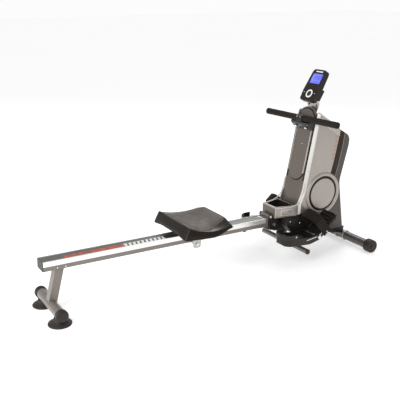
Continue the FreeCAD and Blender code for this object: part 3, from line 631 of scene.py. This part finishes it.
# a dark strip of painted shade in the groove beside the face, and a pale stripe of painted highlight along
# the panel's edge
for name, side in SIDES:
    for label, near, far, low, high, lift, look in (("groove", 0.0622, 0.0735, 0.092, 0.452, 0.0012,
            "groove_dark"), ("stripe", 0.059, 0.0618, 0.132, 0.44, 0.0078, "pearl_trim")):
        stripe = oblong(side * far, low, side * near, high)
        stack(f"{name}_face_{label}", stripe, [(0, 0.0002), (0, lift - 0.0002), (0.0002, lift)], FACE,
            "base", look, "silver_shell")
screw("face_screw", FACE @ Vector((-0.01, 0.288, 0.007)), FACE.to_3x3() @ Vector((0, 0, 1)), 0.0032, "base")

# ---- nose tray

NOSE = [(ahead(1.2405), -0.057, 0.012), (ahead(1.2405), 0.057, 0.012), (ahead(1.372), 0.086, 0.004),
    (ahead(1.372), -0.086, 0.004)]
NOSE_RINGS = [(0.004, 0.252), (0.0012, 0.2545), (0.0002, 0.26), (0, 0.268), (0, 0.3045), (0.0008, 0.3075),
    (0.003, 0.31), (0.011, 0.3122), (0.0128, 0.313), (0.0142, 0.3126), (0.015, 0.31), (0.0154, 0.298),
    (0.016, 0.266), (0.018, 0.262)]


def tray_look(face):
    """Pale rim as painted highlight, taupe rear wall, dark inside as painted shade."""
    middle = face.calc_center_median()
    if middle.z > 0.3121:
        return 2
    inside = middle.x - ahead(1.2405) > 0.0135 and abs(middle.y) < 0.0432 + 0.22 * (middle.x - ahead(1.2405))
    if inside and middle.z > 0.256 and middle.z < 0.312:
        return 3
    return 1 if face.normal.x < -0.8 else 0


stack("nose_tray_shell", NOSE, NOSE_RINGS, PLAN, "base",
    ["silver_shell", "taupe_shell", "pearl_trim", "groove_dark"], replaces=["nose_tray"], pick=tray_look,
    smooth=50)
for step, (low, high) in enumerate(((1.25, 1.299), (1.304, 1.365))):
    wall = oblong(ahead(low), -0.0014, ahead(high), 0.0014)
    plate(f"tray_divider_{step}", wall, 0.26, 0.3 - 0.01 * step, PLAN, "base", "groove_dark")
for name, side in SIDES:
    slope = math.atan2(0.029, 0.1315)
    along = Vector((math.cos(slope), side * math.sin(slope), 0))
    out = Vector((-side * along.y, side * along.x, 0))
    start = Vector((ahead(1.2405), side * 0.057, 0))
    wall_frame = axes(start, along, (0, 0, 1), out)
    # the raised frame in paler silver as a painted highlight, round a silver field
    frame_out = oblong(0.036, 0.264, 0.104, 0.297, 0.004)
    stack(f"{name}_tray_badge", frame_out, [(0, -0.0008), (0, 0.001), (0.0004, 0.0016), (0.0016, 0.0018)],
        wall_frame, "base", "pearl_trim", smooth=60, steps=4)
    stack(f"{name}_tray_badge_field", inset(frame_out, 0.0036),
        [(0, 0.0016), (0, 0.0019), (0.0004, 0.0021)], wall_frame, "base", "silver_shell", smooth=60,
        steps=4)

# a dark plastic guard that fills the hollow under the cover, standing in for the shade there: painted shade
GUARD = [
    (1.292, 0.2518, 0.004), (1.33, 0.2518, 0), (1.43, 0.25, 0), (1.5, 0.234, 0.03),
    (1.56, 0.23, 0.01), (1.574, 0.212, 0.01), (1.548, 0.164, 0.012), (1.46, 0.133, 0.03),
    (1.39, 0.133, 0.03), (1.335, 0.165, 0.02), (1.3, 0.205, 0.01)]
stack("pivot_guard", GUARD, [(0.003, -0.0955), (0.0008, -0.0948), (0, -0.0925), (0, 0.0925),
    (0.0008, 0.0948), (0.003, 0.0955)], side_frame(1), "base", "dark_plastic", smooth=35)
for name, side in SIDES:
    for step, (x, z) in enumerate(((1.318, 0.232), (1.385, 0.215), (1.54, 0.205))):
        screw(f"{name}_guard_screw_{step}", (ahead(x), side * 0.0955, z), (0, side, 0), 0.0048, "base")

# ---- rail


def rail_strip(name, low, high, near, far, lift, look):
    """A thin strip in the rail's channel, for the printed decals and for the channel's painted shade; low
    and high are ahead of the rear stabilizer.
    """
    outline = oblong(low - RAIL_FRONT, near, high - RAIL_FRONT, far)
    return stack(name, outline, [(0, RAIL_FLOOR - 0.0002), (0, RAIL_FLOOR + lift)], RAIL, "rail", look,
        "aluminium_sheath")


# the channel floor in dark grey: painted shade in the recessed channel
rail_strip("rail_channel_shade", -0.032, 1.19, -0.0315, 0.0315, 0.00002, "track_grey")
rail_strip("rail_decal_red", 0.074, 0.375, -0.031, 0.007, 0.00003, "decal_red")
rail_strip("rail_decal_pale", 0.375, 0.59, -0.031, 0.007, 0.00003, "decal_pale")
rail_strip("rail_decal_black", 0.59, 0.69, -0.031, 0.007, 0.00003, "decal_black")
bars = []
for step in range(9):
    x = 0.386 + 0.0225 * step - RAIL_FRONT
    bar = slab(x, -0.027, (0.008, 0), (0.008, 0.031))
    bars.append(stack("bar", bar, [(0, RAIL_FLOOR), (0, RAIL_FLOOR + 0.00004)], RAIL, "rail",
        "decal_black", "aluminium_sheath"))
merged("rail_decal_bars", bars)
REAR_AXIS = (ahead(0), 0, 0.053)
for name, side in SIDES:
    out = (0, side, 0)
    cap = [(0.02, 0.13), (0.0286, 0.13), (0.0296, 0.131), (0.0296, 0.1335), (0.0288, 0.1343),
        (0.0288, 0.1355), (0.0296, 0.1363), (0.0298, 0.149), (0.029, 0.1525), (0.0268, 0.155),
        (0.0225, 0.1564), (0.012, 0.1571), (0, 0.1572)]
    lathe(f"{name}_rear_cap", [(0, 0.13)] + cap, REAR_AXIS, out, "rail", "rubber_black", smooth=45,
          replaces=["rear_end_caps"])
    foot = [(0, 0.0), (0.0528, 0.0), (0.0546, 0.0012), (0.0548, 0.0045), (0.053, 0.007), (0.05, 0.0088),
        (0.044, 0.0125), (0.037, 0.0178), (0.031, 0.0235), (0.028, 0.0275), (0.0262, 0.033), (0, 0.034)]
    lathe(f"{name}_rear_foot_pad", foot, (ahead(0), side * 0.109, 0), (0, 0, 1), "rail", "rubber_black",
        smooth=50, replaces=["rear_feet"])
for step, along in enumerate((-1.19, -1.15)):
    for name, side in SIDES:
        screw(f"{name}_post_screw_{step}", RAIL @ Vector((along, side * 0.0352, -0.047)), (0, side, 0),
            0.0042, "rail")

# ---- front stabilizer

FRONT_AXIS = (ahead(1.803), 0, 0.037)
for name, side in SIDES:
    roller = [(0.0081, 0.2034), (0.033, 0.2034), (0.0362, 0.2048), (0.0369, 0.208), (0.0369, 0.212),
        (0.0356, 0.213), (0.0356, 0.2148), (0.0369, 0.2158), (0.0369, 0.24), (0.0362, 0.2435),
        (0.0345, 0.246), (0.032, 0.2468), (0.025, 0.2464), (0.0238, 0.2448), (0.012, 0.2448),
        (0.0081, 0.2456)]
    lathe(f"{name}_roller_tyre", roller, FRONT_AXIS, (0, side, 0), f"{name}_roller", "rubber_black",
          replaces=[f"{name}_front_roller"], smooth=45)
    hub = [(0, 0.244), (0.0126, 0.244), (0.0126, 0.248), (0.0118, 0.2496), (0.01, 0.2503), (0, 0.2505)]
    lathe(f"{name}_roller_hub", hub, FRONT_AXIS, (0, side, 0), "base", "rubber_black", steps=40)
    screw(f"{name}_saddle_screw", (ahead(1.762), side * 0.012, 0.0905), (-0.22, 0, 0.975), 0.0075, "base")
    saddle = [(0.0292, 0.03), (0.03, 0.0305), (0.03, 0.0335), (0.0292, 0.034), (0.0255, 0.034),
        (0.0255, 0.03)]
    lathe(f"{name}_saddle_seam", saddle, FRONT_AXIS, (0, side, 0), "base", "silver_plate", smooth=45)
screw("beam_side_bolt", (ahead(1.341), -0.0255, 0.18), (0, -1, 0), 0.007, "base")
screw("beam_side_bolt_far", (ahead(1.341), 0.0255, 0.18), (0, 1, 0), 0.007, "base")

# ---- pedals and their straps

LEAN = math.radians(-40)
STRAP_UP = Vector((math.sin(LEAN), 0, math.cos(LEAN)))
STRAP_WIDE = Vector((math.cos(LEAN), 0, -math.sin(LEAN)))
STRAP_ROOT = Vector((ahead(1.492), 0, 0.165))
for name, side in SIDES:
    body = f"{name}_foot_plate"
    middle = side * 0.16
    heel = [(1.275, -0.0572, 0), (1.1928, -0.0572, 0.052), (1.1928, 0.0572, 0.052), (1.275, 0.0572, 0)]
    path = [(ahead(p.x), middle + p.y, 0.195) for p in fillet(heel, 14)]
    band(f"{name}_heel_band", path, (0, 0, 0.024), 0.0026, body, "heel_band")
    for end in (-1, 1):
        screw(f"{name}_heel_rivet_{end + 1}", (ahead(1.262), middle + end * 0.058, 0.195), (0, end, 0),
            0.0045, body)
    # tread bars in a lighter grey: painted highlight on the ridges in the dark well
    treads = []
    place = Matrix.Translation((REAR_X, middle, 0))
    for step in range(9):
        x = 1.222 + 0.0165 * step
        z = 0.1602 - (x - 1.17) * 0.0619
        for half in (-1, 1):
            bar = slab(x, half * 0.004, (0.006, 0), (0.014, half * 0.032), 0.0015)
            treads.append(plate("tread", bar, z - 0.001, z + 0.0045, place, body,
                                "tread_grey", steps=3))
    merged(f"{name}_heel_treads", treads)
    ribs = []
    for step in range(9):
        x = 1.418 + 0.0145 * step
        z = 0.1618 + (x - 1.416) * 0.909 + 0.0014
        slope = math.atan(0.909)
        place = axes((ahead(x), middle, z), (math.cos(slope), 0, math.sin(slope)), (0, 1, 0),
            (-math.sin(slope), 0, math.cos(slope)))
        bar = oblong(-0.003, -0.042, 0.003, 0.042, 0.001)
        ribs.append(plate("toe_rib", bar, -0.004, 0.0035, place, body, "dark_plastic",
                          steps=3))
    merged(f"{name}_toe_ribs", ribs)
    rim = [(1.336, 0.158, 0.0015), (1.418, 0.1675, 0.0015), (1.47, 0.203, 0.0015), (1.468, 0.207, 0.0015),
        (1.416, 0.172, 0.0015), (1.336, 0.1625, 0.0015)]
    for end in (-1, 1):
        place = axes((REAR_X, middle, 0), (1, 0, 0), (0, 0, 1), (0, end, 0))
        plate(f"{name}_side_slot_{end + 1}", rim, 0.0552, 0.0568, place, body, "bright_steel", steps=3)
    arch = [(-0.0576, 0.02, 0), (-0.0576, 0.1385, 0.041), (0, 0.1705, 0.06), (0.0576, 0.1385, 0.041),
        (0.0576, 0.02, 0)]
    curve = [STRAP_ROOT + Vector((0, middle + p.x, 0)) + STRAP_UP * p.y for p in fillet(arch, 12)]
    band(f"{name}_instep_strap", curve, STRAP_WIDE * 0.056, 0.003, body, "strap_webbing",
         replaces=[f"{name}_pedal_strap"])
    core = STRAP_ROOT + Vector((0, middle, 0)) + STRAP_UP * 0.09
    flap = [p + (p - core).normalized() * 0.003 for p in curve[3:30]]
    band(f"{name}_strap_flap", flap, STRAP_WIDE * 0.05, 0.0022, body, "strap_webbing")
    for end in (-1, 1):
        root = STRAP_ROOT + Vector((0, middle + end * 0.059, 0)) + STRAP_UP * 0.03
        screw(f"{name}_strap_bolt_{end + 1}", root, (0, end, 0), 0.005, body)

# ---- handle and pull strap

HANDLE = Vector((ahead(1.44), 0, 0.773))
YAW = Matrix.Rotation(math.radians(5), 4, "Z")
for name, side in SIDES:
    grip = [
        (0.0126, 0.023), (0.016, 0.023), (0.017, 0.024), (0.017, 0.0262), (0.0166, 0.0275), (0.0166, 0.09),
        (0.0168, 0.14), (0.0167, 0.23), (0.017, 0.25), (0.0171, 0.258), (0.0166, 0.2607), (0.015, 0.2619),
        (0.009, 0.2619), (0.0084, 0.261), (0, 0.261), (0, 0.256), (0.0126, 0.256)]
    options = {"replaces": ["handle_grips"]} if side < 0 else {}
    lathe(f"{name}_foam_grip", grip, HANDLE, YAW @ Vector((0, side, 0)), "handle", "foam_grip", smooth=45,
        **options)
    screw(f"{name}_clamp_screw", HANDLE + YAW @ Vector((-0.019, side * 0.012, 0.009)), (-1, 0, 0), 0.0034,
        "handle")
    screw(f"{name}_rest_screw", (ahead(1.4402), side * 0.04, 0.7238), (-0.766, 0, -0.643), 0.0085, "base")
place = Matrix.Translation(HANDLE) @ YAW @ axes((0, 0, 0), (1, 0, 0), (0, 0, 1), (0, 1, 0))
for name, side in SIDES:
    middle = side * 0.0212
    stack(f"{name}_clamp_cheek", [(-0.0205, -0.0175, 0.006), (0.0225, -0.013, 0.006),
        (0.0225, 0.013, 0.006), (-0.0205, 0.0185, 0.006)],
        [(0.0012, middle - 0.0012), (0, middle - 0.0004), (0, middle + 0.0004),
        (0.0012, middle + 0.0012)], place, "handle", "dark_plastic")
steps = 24
route = [HANDLE + Vector((0.018 + 0.047 * step / steps, 0, 0)) for step in range(steps + 1)]
strap = band("pull_strap_webbing", route, (0, 0.038, 0), 0.0018, None, "strap_webbing",
             replaces=["pull_strap"])
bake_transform(strap)

# ---- console

bezel = oblong(-0.042, 0.0055, 0.042, 0.07, 0.005)
stack("screen_bezel", bezel,
      [(0, -0.0006), (0, 0.001), (0.0005, 0.0017), (0.0014, 0.0018), (0.0042, 0.0004), (0.0044, -0.0006)],
      CONSOLE, "console", "dark_plastic", smooth=50)
glass = oblong(-0.0372, 0.0105, 0.0372, 0.065, 0.001)
stack("screen_pane", glass, [(0, -0.002), (0, 0.0007), (0.0004, 0.001)], CONSOLE, "console",
    "screen_glass", replaces=["console_screen"])


def lit_digit(y, z, tall, number):
    """A seven-stroke digit of dark segments."""
    wide = tall * 0.52
    stroke = tall * 0.13
    strokes = {"top": ((0, tall), (wide, tall)), "middle": ((0, tall / 2), (wide, tall / 2)),
        "low": ((0, 0), (wide, 0)), "left_up": ((0, tall / 2), (0, tall)),
        "right_up": ((wide, tall / 2), (wide, tall)), "left_low": ((0, 0), (0, tall / 2)),
        "right_low": ((wide, 0), (wide, tall / 2))}
    lit = {"0": ("top", "low", "left_up", "right_up", "left_low", "right_low"),
        "1": ("right_up", "right_low"), "2": ("top", "right_up", "middle", "left_low", "low"),
        "5": ("top", "left_up", "middle", "right_low", "low")}[number]
    made = []
    for key in lit:
        (y0, z0), (y1, z1) = strokes[key]
        y0, y1 = sorted((y0, y1))
        z0, z1 = sorted((z0, z1))
        box = oblong(y - y0 + stroke / 2, z + z0 - stroke / 2, y - y1 - stroke / 2, z + z1 + stroke / 2)
        made.append(stack("stroke", box, [(0, 0.0009), (0, 0.0012)], CONSOLE, "console",
            "lcd_segments"))
    return made


digits = []
for index, number in enumerate("1250"):
    digits += lit_digit(0.026 - 0.0155 * index - (0.004 if index > 1 else 0), 0.033,
        0.019, number)
for z, count in ((0.019, 5), (0.0145, 7), (0.058, 4)):
    for index in range(count):
        y = 0.03 - index * 0.06 / (count - 1)
        mark = oblong(y + 0.0035, z, y - 0.0035, z + 0.0022)
        digits.append(stack("mark", mark, [(0, 0.0009), (0, 0.0012)], CONSOLE, "console",
            "lcd_segments"))
merged("screen_segments", digits)
plate("console_label_strip", oblong(-0.026, 0.0755, 0.026, 0.0815, 0.001),
      -0.0004, 0.0005, CONSOLE, "console", "white_enamel", edge=0.0002)
slots = []
for index in range(7):
    y = 0.03 - 0.01 * index
    slot = [(y - 0.004, -0.01, 0.0012), (y + 0.004, -0.01, 0.0012), (y + 0.003, -0.0045, 0.0012),
        (y - 0.003, -0.0045, 0.0012)]
    slots.append(plate("slot", slot, -0.0004, 0.0004, CONSOLE, "console", "groove_dark",
        edge=0.0001, steps=3))
merged("console_slots", slots)
plate("console_lower_panel", [(-0.05, -0.083, 0.012), (0.05, -0.083, 0.012), (0.053, -0.015, 0.006),
    (-0.053, -0.015, 0.006)], -0.0006, 0.0004, CONSOLE, "console", "groove_dark", edge=0.0003)
for name, side in SIDES:
    dash = oblong(side * 0.0365, -0.0472, side * 0.0435, -0.0448, 0.001)
    plate(f"{name}_button_dash", dash, 0.0018, 0.0026, CONSOLE, f"{name}_button", "white_enamel",
        edge=0.0002)
    hole = (ahead(1.5185), side * 0.03, 0.838)
    screw(f"{name}_bracket_eye", hole, (-1, 0, 0), 0.0052, "base", "black_steel")
for step, z in enumerate((-0.03, -0.04, -0.05)):
    grip_line = oblong(-0.02, z, 0.02, z + 0.003, 0.001)
    plate(f"battery_grip_{step}", grip_line, -0.051, -0.0492, CONSOLE, "console", "dark_plastic", steps=3)

# ---- seat

SEAT_MIDDLE = -0.46
SEAT_LOW = 0.0178
SEAT_THICK = 0.058
SEAT = RAIL @ Matrix.Translation((SEAT_MIDDLE, 0, 0))
SEAT_PLAN = [
    (-0.139, -0.166, 0.012), (-0.139, 0.166, 0.012), (0.01, 0.186, 0.24), (0.139, 0.172, 0.022),
    (0.139, -0.172, 0.022), (0.01, -0.186, 0.24)]
SEAM_PLAN = [
    (-0.107, -0.146, 0.016), (-0.107, 0.146, 0.016), (-0.01, 0.166, 0.16), (0.123, 0.104, 0.03),
    (0.123, -0.104, 0.03), (-0.01, -0.166, 0.16)]
# the side skin, from the bottom edge up: (inset, share of the height)
SEAT_SIDE_RINGS = (
    (0.016, 0.0), (0.003, 0.0), (0.0006, 0.02), (0.0, 0.08), (0.0003, 0.17), (0.0016, 0.19), (0.0018, 0.22),
    (0.0014, 0.25), (0.004, 0.52), (0.0078, 0.8), (0.0098, 0.93), (0.012, 0.995))
RIM_POINTS = 180
SEAM_DEPTH = 0.0016
SEAM_RING = len(SEAT_SIDE_RINGS) + 3


def eased(value, start, end):
    """0 before start, 1 after end and a soft rise between."""
    share = min(1.0, max(0.0, (value - start) / (end - start)))
    return share * share * (3 - 2 * share)


def seat_top(x, y):
    """Height of the seat's top in its own frame: dished lengthwise, its sides falling to the front."""
    u = max(-1.0, min(1.0, x / 0.139))
    v = min(1.0, abs(y) / 0.18)
    trough = 0.0165 * (1 - u * u)
    thigh = 0.025 * (1 - ((1 - u) / 2) ** 2) * eased(v, 0.45, 1.0)
    return SEAT_LOW + SEAT_THICK - 0.002 - trough - thigh


def seat_bottom(x, y):
    """Height of the seat's lower edge: hanging a little at the thighs and swept up at the front corners."""
    u = x / 0.139
    v = min(1.0, abs(y) / 0.18)
    hang = 0.009 * eased(v, 0.4, 0.85)
    sweep = 0.03 * eased(u, 0.1, 1.0) * eased(v, 0.35, 1.0)
    return SEAT_LOW - hang + sweep


def slanted(point, level):
    """The point moved forwards where the seat's rear face leans over; level is its share of the height."""
    return point.x + 0.017 * level * eased(-point.x, 0.07, 0.139)


def even_rim(outline):
    """The closed outline as evenly spaced points, starting straight behind the middle."""
    line = fillet(outline, 12)
    start = min(range(len(line)), key=lambda i: (line[i].x, abs(line[i].y)))
    line = line[start:] + line[:start + 1]
    lengths = [(b - a).length for a, b in zip(line, line[1:])]
    made = []
    for index in range(RIM_POINTS):
        walk = sum(lengths) * index / RIM_POINTS
        step = 0
        while walk > lengths[step]:
            walk -= lengths[step]
            step += 1
        share = walk / lengths[step] if lengths[step] > 0 else 0
        made.append(line[step].lerp(line[step + 1], share))
    return made


def seat_rings():
    """Closed rings of the cushion, from its lower edge over the side and the seam to its middle."""
    rings = []
    for distance, level in SEAT_SIDE_RINGS:
        low_high = [(p, seat_bottom(p.x, p.y), seat_top(p.x, p.y))
            for p in even_rim(inset(SEAT_PLAN, distance))]
        rings.append([Vector((slanted(p, level), p.y, low + (high - low) * level)) for p, low,
            high in low_high])
    outer = even_rim(inset(SEAT_PLAN, 0.014))
    seam = even_rim(SEAM_PLAN)
    for share in (0.35, 0.75, 0.95):
        between = [Vector((slanted(a, 1.0), a.y)).lerp(b, share) for a, b in zip(outer, seam)]
        rings.append([Vector((p.x, p.y, seat_top(p.x, p.y))) for p in between])
    rings.append([Vector((p.x, p.y, seat_top(p.x, p.y) - SEAM_DEPTH)) for p in seam])
    for scale in (0.975, 0.93, 0.87, 0.8, 0.72, 0.63, 0.54, 0.45, 0.36, 0.27, 0.18, 0.09):
        rings.append([Vector((p.x * scale, p.y * scale, seat_top(p.x * scale, p.y * scale))) for p in seam])
    return rings




def seat_mesh(name):
    """The cushion before it is filled; index 1 is the smooth side skin."""
    rings = seat_rings()
    count = RIM_POINTS
    verts = [SEAT @ Vector((0, 0, SEAT_LOW))]
    for ring in rings:
        verts += [SEAT @ p for p in ring]
    verts.append(SEAT @ Vector((0, 0, seat_top(0, 0))))
    faces = []
    for i in range(count):
        j = (i + 1) % count
        faces.append((0, 1 + j, 1 + i))
        for level in range(len(rings) - 1):
            low = 1 + level * count
            faces.append((low + i, low + j, low + count + j, low + count + i))
        last = 1 + (len(rings) - 1) * count
        faces.append((last + i, last + j, len(verts) - 1))
    made = piece(name, verts, faces, "seat", ["seat_leather", "seat_side"], smooth=180)
    held = made.vertex_groups.new(name="held")
    held.add(list(range(1 + SEAM_RING * count - count)), 1.0, "REPLACE")
    held.add(list(range(1 + SEAM_RING * count, 1 + (SEAM_RING + 1) * count)), 1.0, "REPLACE")
    return made


def bake(piece_object):
    """Applies the piece's modifiers to its mesh."""
    evaluated = piece_object.evaluated_get(bpy.context.evaluated_depsgraph_get())
    mesh = bpy.data.meshes.new_from_object(evaluated)
    piece_object.modifiers.clear()
    piece_object.data = mesh


def fill_out(cushion, pressure, cap):
    """Cloth simulation that swells the top inside its seam, with every point's move capped."""
    before = [v.co.copy() for v in cushion.data.vertices]
    cloth = cushion.modifiers.new("Cloth", "CLOTH")
    cloth.settings.use_pressure = True
    cloth.settings.uniform_pressure_force = pressure
    cloth.settings.vertex_group_mass = "held"
    cloth.settings.effector_weights.gravity = 0
    cloth.settings.tension_stiffness = 30
    cloth.settings.compression_stiffness = 30
    cloth.point_cache.frame_end = 20
    for moment in range(1, 21):
        bpy.context.scene.frame_set(moment)
    bake(cushion)
    for vertex, start in zip(cushion.data.vertices, before):
        move = vertex.co - start
        if move.length > cap:
            vertex.co = start + move.normalized() * cap
    bpy.context.scene.frame_set(1)


def seat_look():
    """The skin outside the seam is smooth and dark at the near and far sides; the rest is grained."""
    mesh = cushion.data
    inverse = SEAT.inverted()
    turn = inverse.to_3x3()
    seam = even_rim(inset(SEAM_PLAN, -0.001))
    for polygon in mesh.polygons:
        middle = inverse @ polygon.center
        normal = turn @ polygon.normal
        side = sum((b.x - a.x) * (middle.y - a.y) - (b.y - a.y) * (middle.x - a.x) > 0
                   for a, b in zip(seam, seam[1:] + seam[:1]))
        outside = 0 < side < len(seam)
        polygon.material_index = 1 if normal.z < 0.55 or (outside and abs(middle.y) > 0.098) else 0
        polygon.use_smooth = True


cushion = seat_mesh("seat_cushion_pad")
fill_out(cushion, 3.0, 0.004)
seat_look()
smoother = cushion.modifiers.new("Subdivision", "SUBSURF")
smoother.levels = 1
smoother.render_levels = 1
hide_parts("seat_cushion")


def seat_shell():
    """The moulded pan under the cushion, following the cushion's lower edge."""
    verts = []
    rims = [even_rim(inset(SEAT_PLAN, distance)) for distance in (0.013, 0.011, 0.011, 0.013)]
    for rim, lift in zip(rims, (-0.002, -0.0012, 0.0014, 0.0022)):
        verts += [SEAT @ Vector((p.x, p.y, seat_bottom(p.x, p.y) + lift)) for p in rim]
    verts.append(SEAT @ Vector((0, 0, SEAT_LOW - 0.0002)))
    verts.append(SEAT @ Vector((0, 0, SEAT_LOW + 0.0022)))
    faces = walls(RIM_POINTS, 3)
    for i in range(RIM_POINTS):
        j = (i + 1) % RIM_POINTS
        faces.append((i, j, len(verts) - 2))
        faces.append((3 * RIM_POINTS + i, 3 * RIM_POINTS + j, len(verts) - 1))
    piece("seat_pan_shell", verts, faces, "seat", "dark_plastic", replaces=["seat_pan"])


seat_shell()
bpy.context.view_layer.update()
seen = cushion.evaluated_get(bpy.context.evaluated_depsgraph_get())


def on_seat(x, y):
    """The point on the finished cushion's top above a place in the seat's frame, and its normal."""
    origin = SEAT @ Vector((x, y, 0.2))
    down = SEAT.to_3x3() @ Vector((0, 0, -1))
    hit, point, normal, _ = seen.ray_cast(origin, down)
    return (point, normal) if hit else (SEAT @ Vector((x, y, seat_top(x, y))), -down)


def seam_line(scale):
    """The seam's path round the top of the seat."""
    return [(p.x * scale, p.y * scale) for p in fillet(SEAM_PLAN, 16)]


def even_steps(line, pitch):
    """Places along a closed line, a pitch apart, each with its direction."""
    made = []
    spare = 0.0
    for start, end in zip(line, line[1:] + line[:1]):
        a, b = Vector(start), Vector(end)
        length = (b - a).length
        while spare < length:
            made.append((a + (b - a) * (spare / length), (b - a).normalized()))
            spare += pitch
        spare -= length
    return made


def stitches(name, scale, pitch, long, thick):
    """A row of thread stitches lying on the leather."""
    verts = []
    faces = []
    for place, along in even_steps(seam_line(scale), pitch):
        point, normal = on_seat(place.x, place.y)
        forward = (SEAT.to_3x3() @ Vector((along.x, along.y, 0))).normalized()
        sideways = normal.cross(forward).normalized()
        base = len(verts)
        for share, width in ((-0.5, 0.35), (-0.3, 1.0), (0.3, 1.0), (0.5, 0.35)):
            for turn in range(6):
                angle = 2 * math.pi * turn / 6
                reach = thick / 2 * width
                verts.append(point + forward * (long * share) + sideways * (math.cos(angle) * reach)
                             + normal * (math.sin(angle) * reach + thick * 0.25))
        faces += walls(6, 3, base)
        faces.append(tuple(range(base, base + 6)))
        faces.append(tuple(range(base + 18, base + 24)))
    return piece(name, verts, faces, "seat", "stitch_thread", smooth=60)


def piping(name, scale, radius, lift):
    """A raised welt along the seam."""
    line = [on_seat(x, y) for x, y in seam_line(scale)]
    verts = []
    faces = []
    count = len(line)
    for index, (point, normal) in enumerate(line):
        forward = (line[(index + 1) % count][0] - line[index - 1][0]).normalized()
        sideways = normal.cross(forward).normalized()
        for turn in range(8):
            angle = 2 * math.pi * turn / 8
            verts.append(point + normal * (lift + math.sin(angle) * radius)
                + sideways * (math.cos(angle) * radius * 1.6))
    for index in range(count):
        for turn in range(8):
            a = index * 8 + turn
            b = index * 8 + (turn + 1) % 8
            c = ((index + 1) % count) * 8
            faces.append((a, b, c + (turn + 1) % 8, c + turn))
    return piece(name, verts, faces, "seat", "seat_leather", smooth=180)


stitches("seat_stitch_row", 0.945, 0.009, 0.0056, 0.0021)
piping("seat_top_welt", 1.0, 0.0015, 0.0002)

# ---- studio


def studio():
    """A plain pale floor, soft boxes and the camera."""
    scene = bpy.context.scene
    bpy.ops.mesh.primitive_plane_add(size=60, location=(0, 0, -0.0004))
    floor = bpy.context.object
    floor.name = "studio_floor"
    paper = Shader("studio_paper", 0.9, specular=0.15)
    drift = paper.noise(0.5, 2)
    paper.main.inputs["Emission Color"].default_value = (1, 1, 1, 1)
    paper.main.inputs["Emission Strength"].default_value = 0.42
    floor.data.materials.append(paper.finish(paper.mix(drift, (0.88, 0.88, 0.885), (0.9, 0.9, 0.9))))
    world = bpy.data.worlds.new("studio")
    world.use_nodes = True
    nodes = world.node_tree.nodes
    join = world.node_tree.links.new
    lit = nodes["Background"]
    seen_sky = nodes.new("ShaderNodeBackground")
    for sky, strength in ((lit, 0.6), (seen_sky, 0.978)):
        sky.inputs["Color"].default_value = (1.0, 1.0, 1.0, 1)
        sky.inputs["Strength"].default_value = strength
    both = nodes.new("ShaderNodeMixShader")
    join(nodes.new("ShaderNodeLightPath").outputs["Is Camera Ray"], both.inputs["Fac"])
    join(lit.outputs["Background"], both.inputs[1])
    join(seen_sky.outputs["Background"], both.inputs[2])
    join(both.outputs["Shader"], nodes["World Output"].inputs["Surface"])
    scene.world = world
    scene.view_settings.view_transform = "Standard"
    target = Vector((0.1, 0, 0.35))
    for name, place, size, power in (
            ("key_box", (-2.9, -1.9, 2.7), 1.5, 70),
            ("side_box", (-3.4, 0.4, 1.0), 1.2, 26),
            ("rim_box", (2.2, 2.6, 2.8), 1.6, 30)):
        light = bpy.data.lights.new(name, "AREA")
        light.size = size
        light.energy = power
        lamp = bpy.data.objects.new(name, light)
        lamp.location = place
        lamp.rotation_euler = (target - Vector(place)).to_track_quat("-Z", "Y").to_euler()
        scene.collection.objects.link(lamp)
    view = bpy.data.cameras.new("camera")
    view.lens = 58.79
    view.sensor_width = 36
    camera = bpy.data.objects.new("camera", view)
    camera.location = (-1.72325, -2.67153, 1.44117)
    camera.rotation_euler = (math.radians(71.911), 0, math.radians(-31.475))
    scene.collection.objects.link(camera)
    scene.camera = camera


studio()
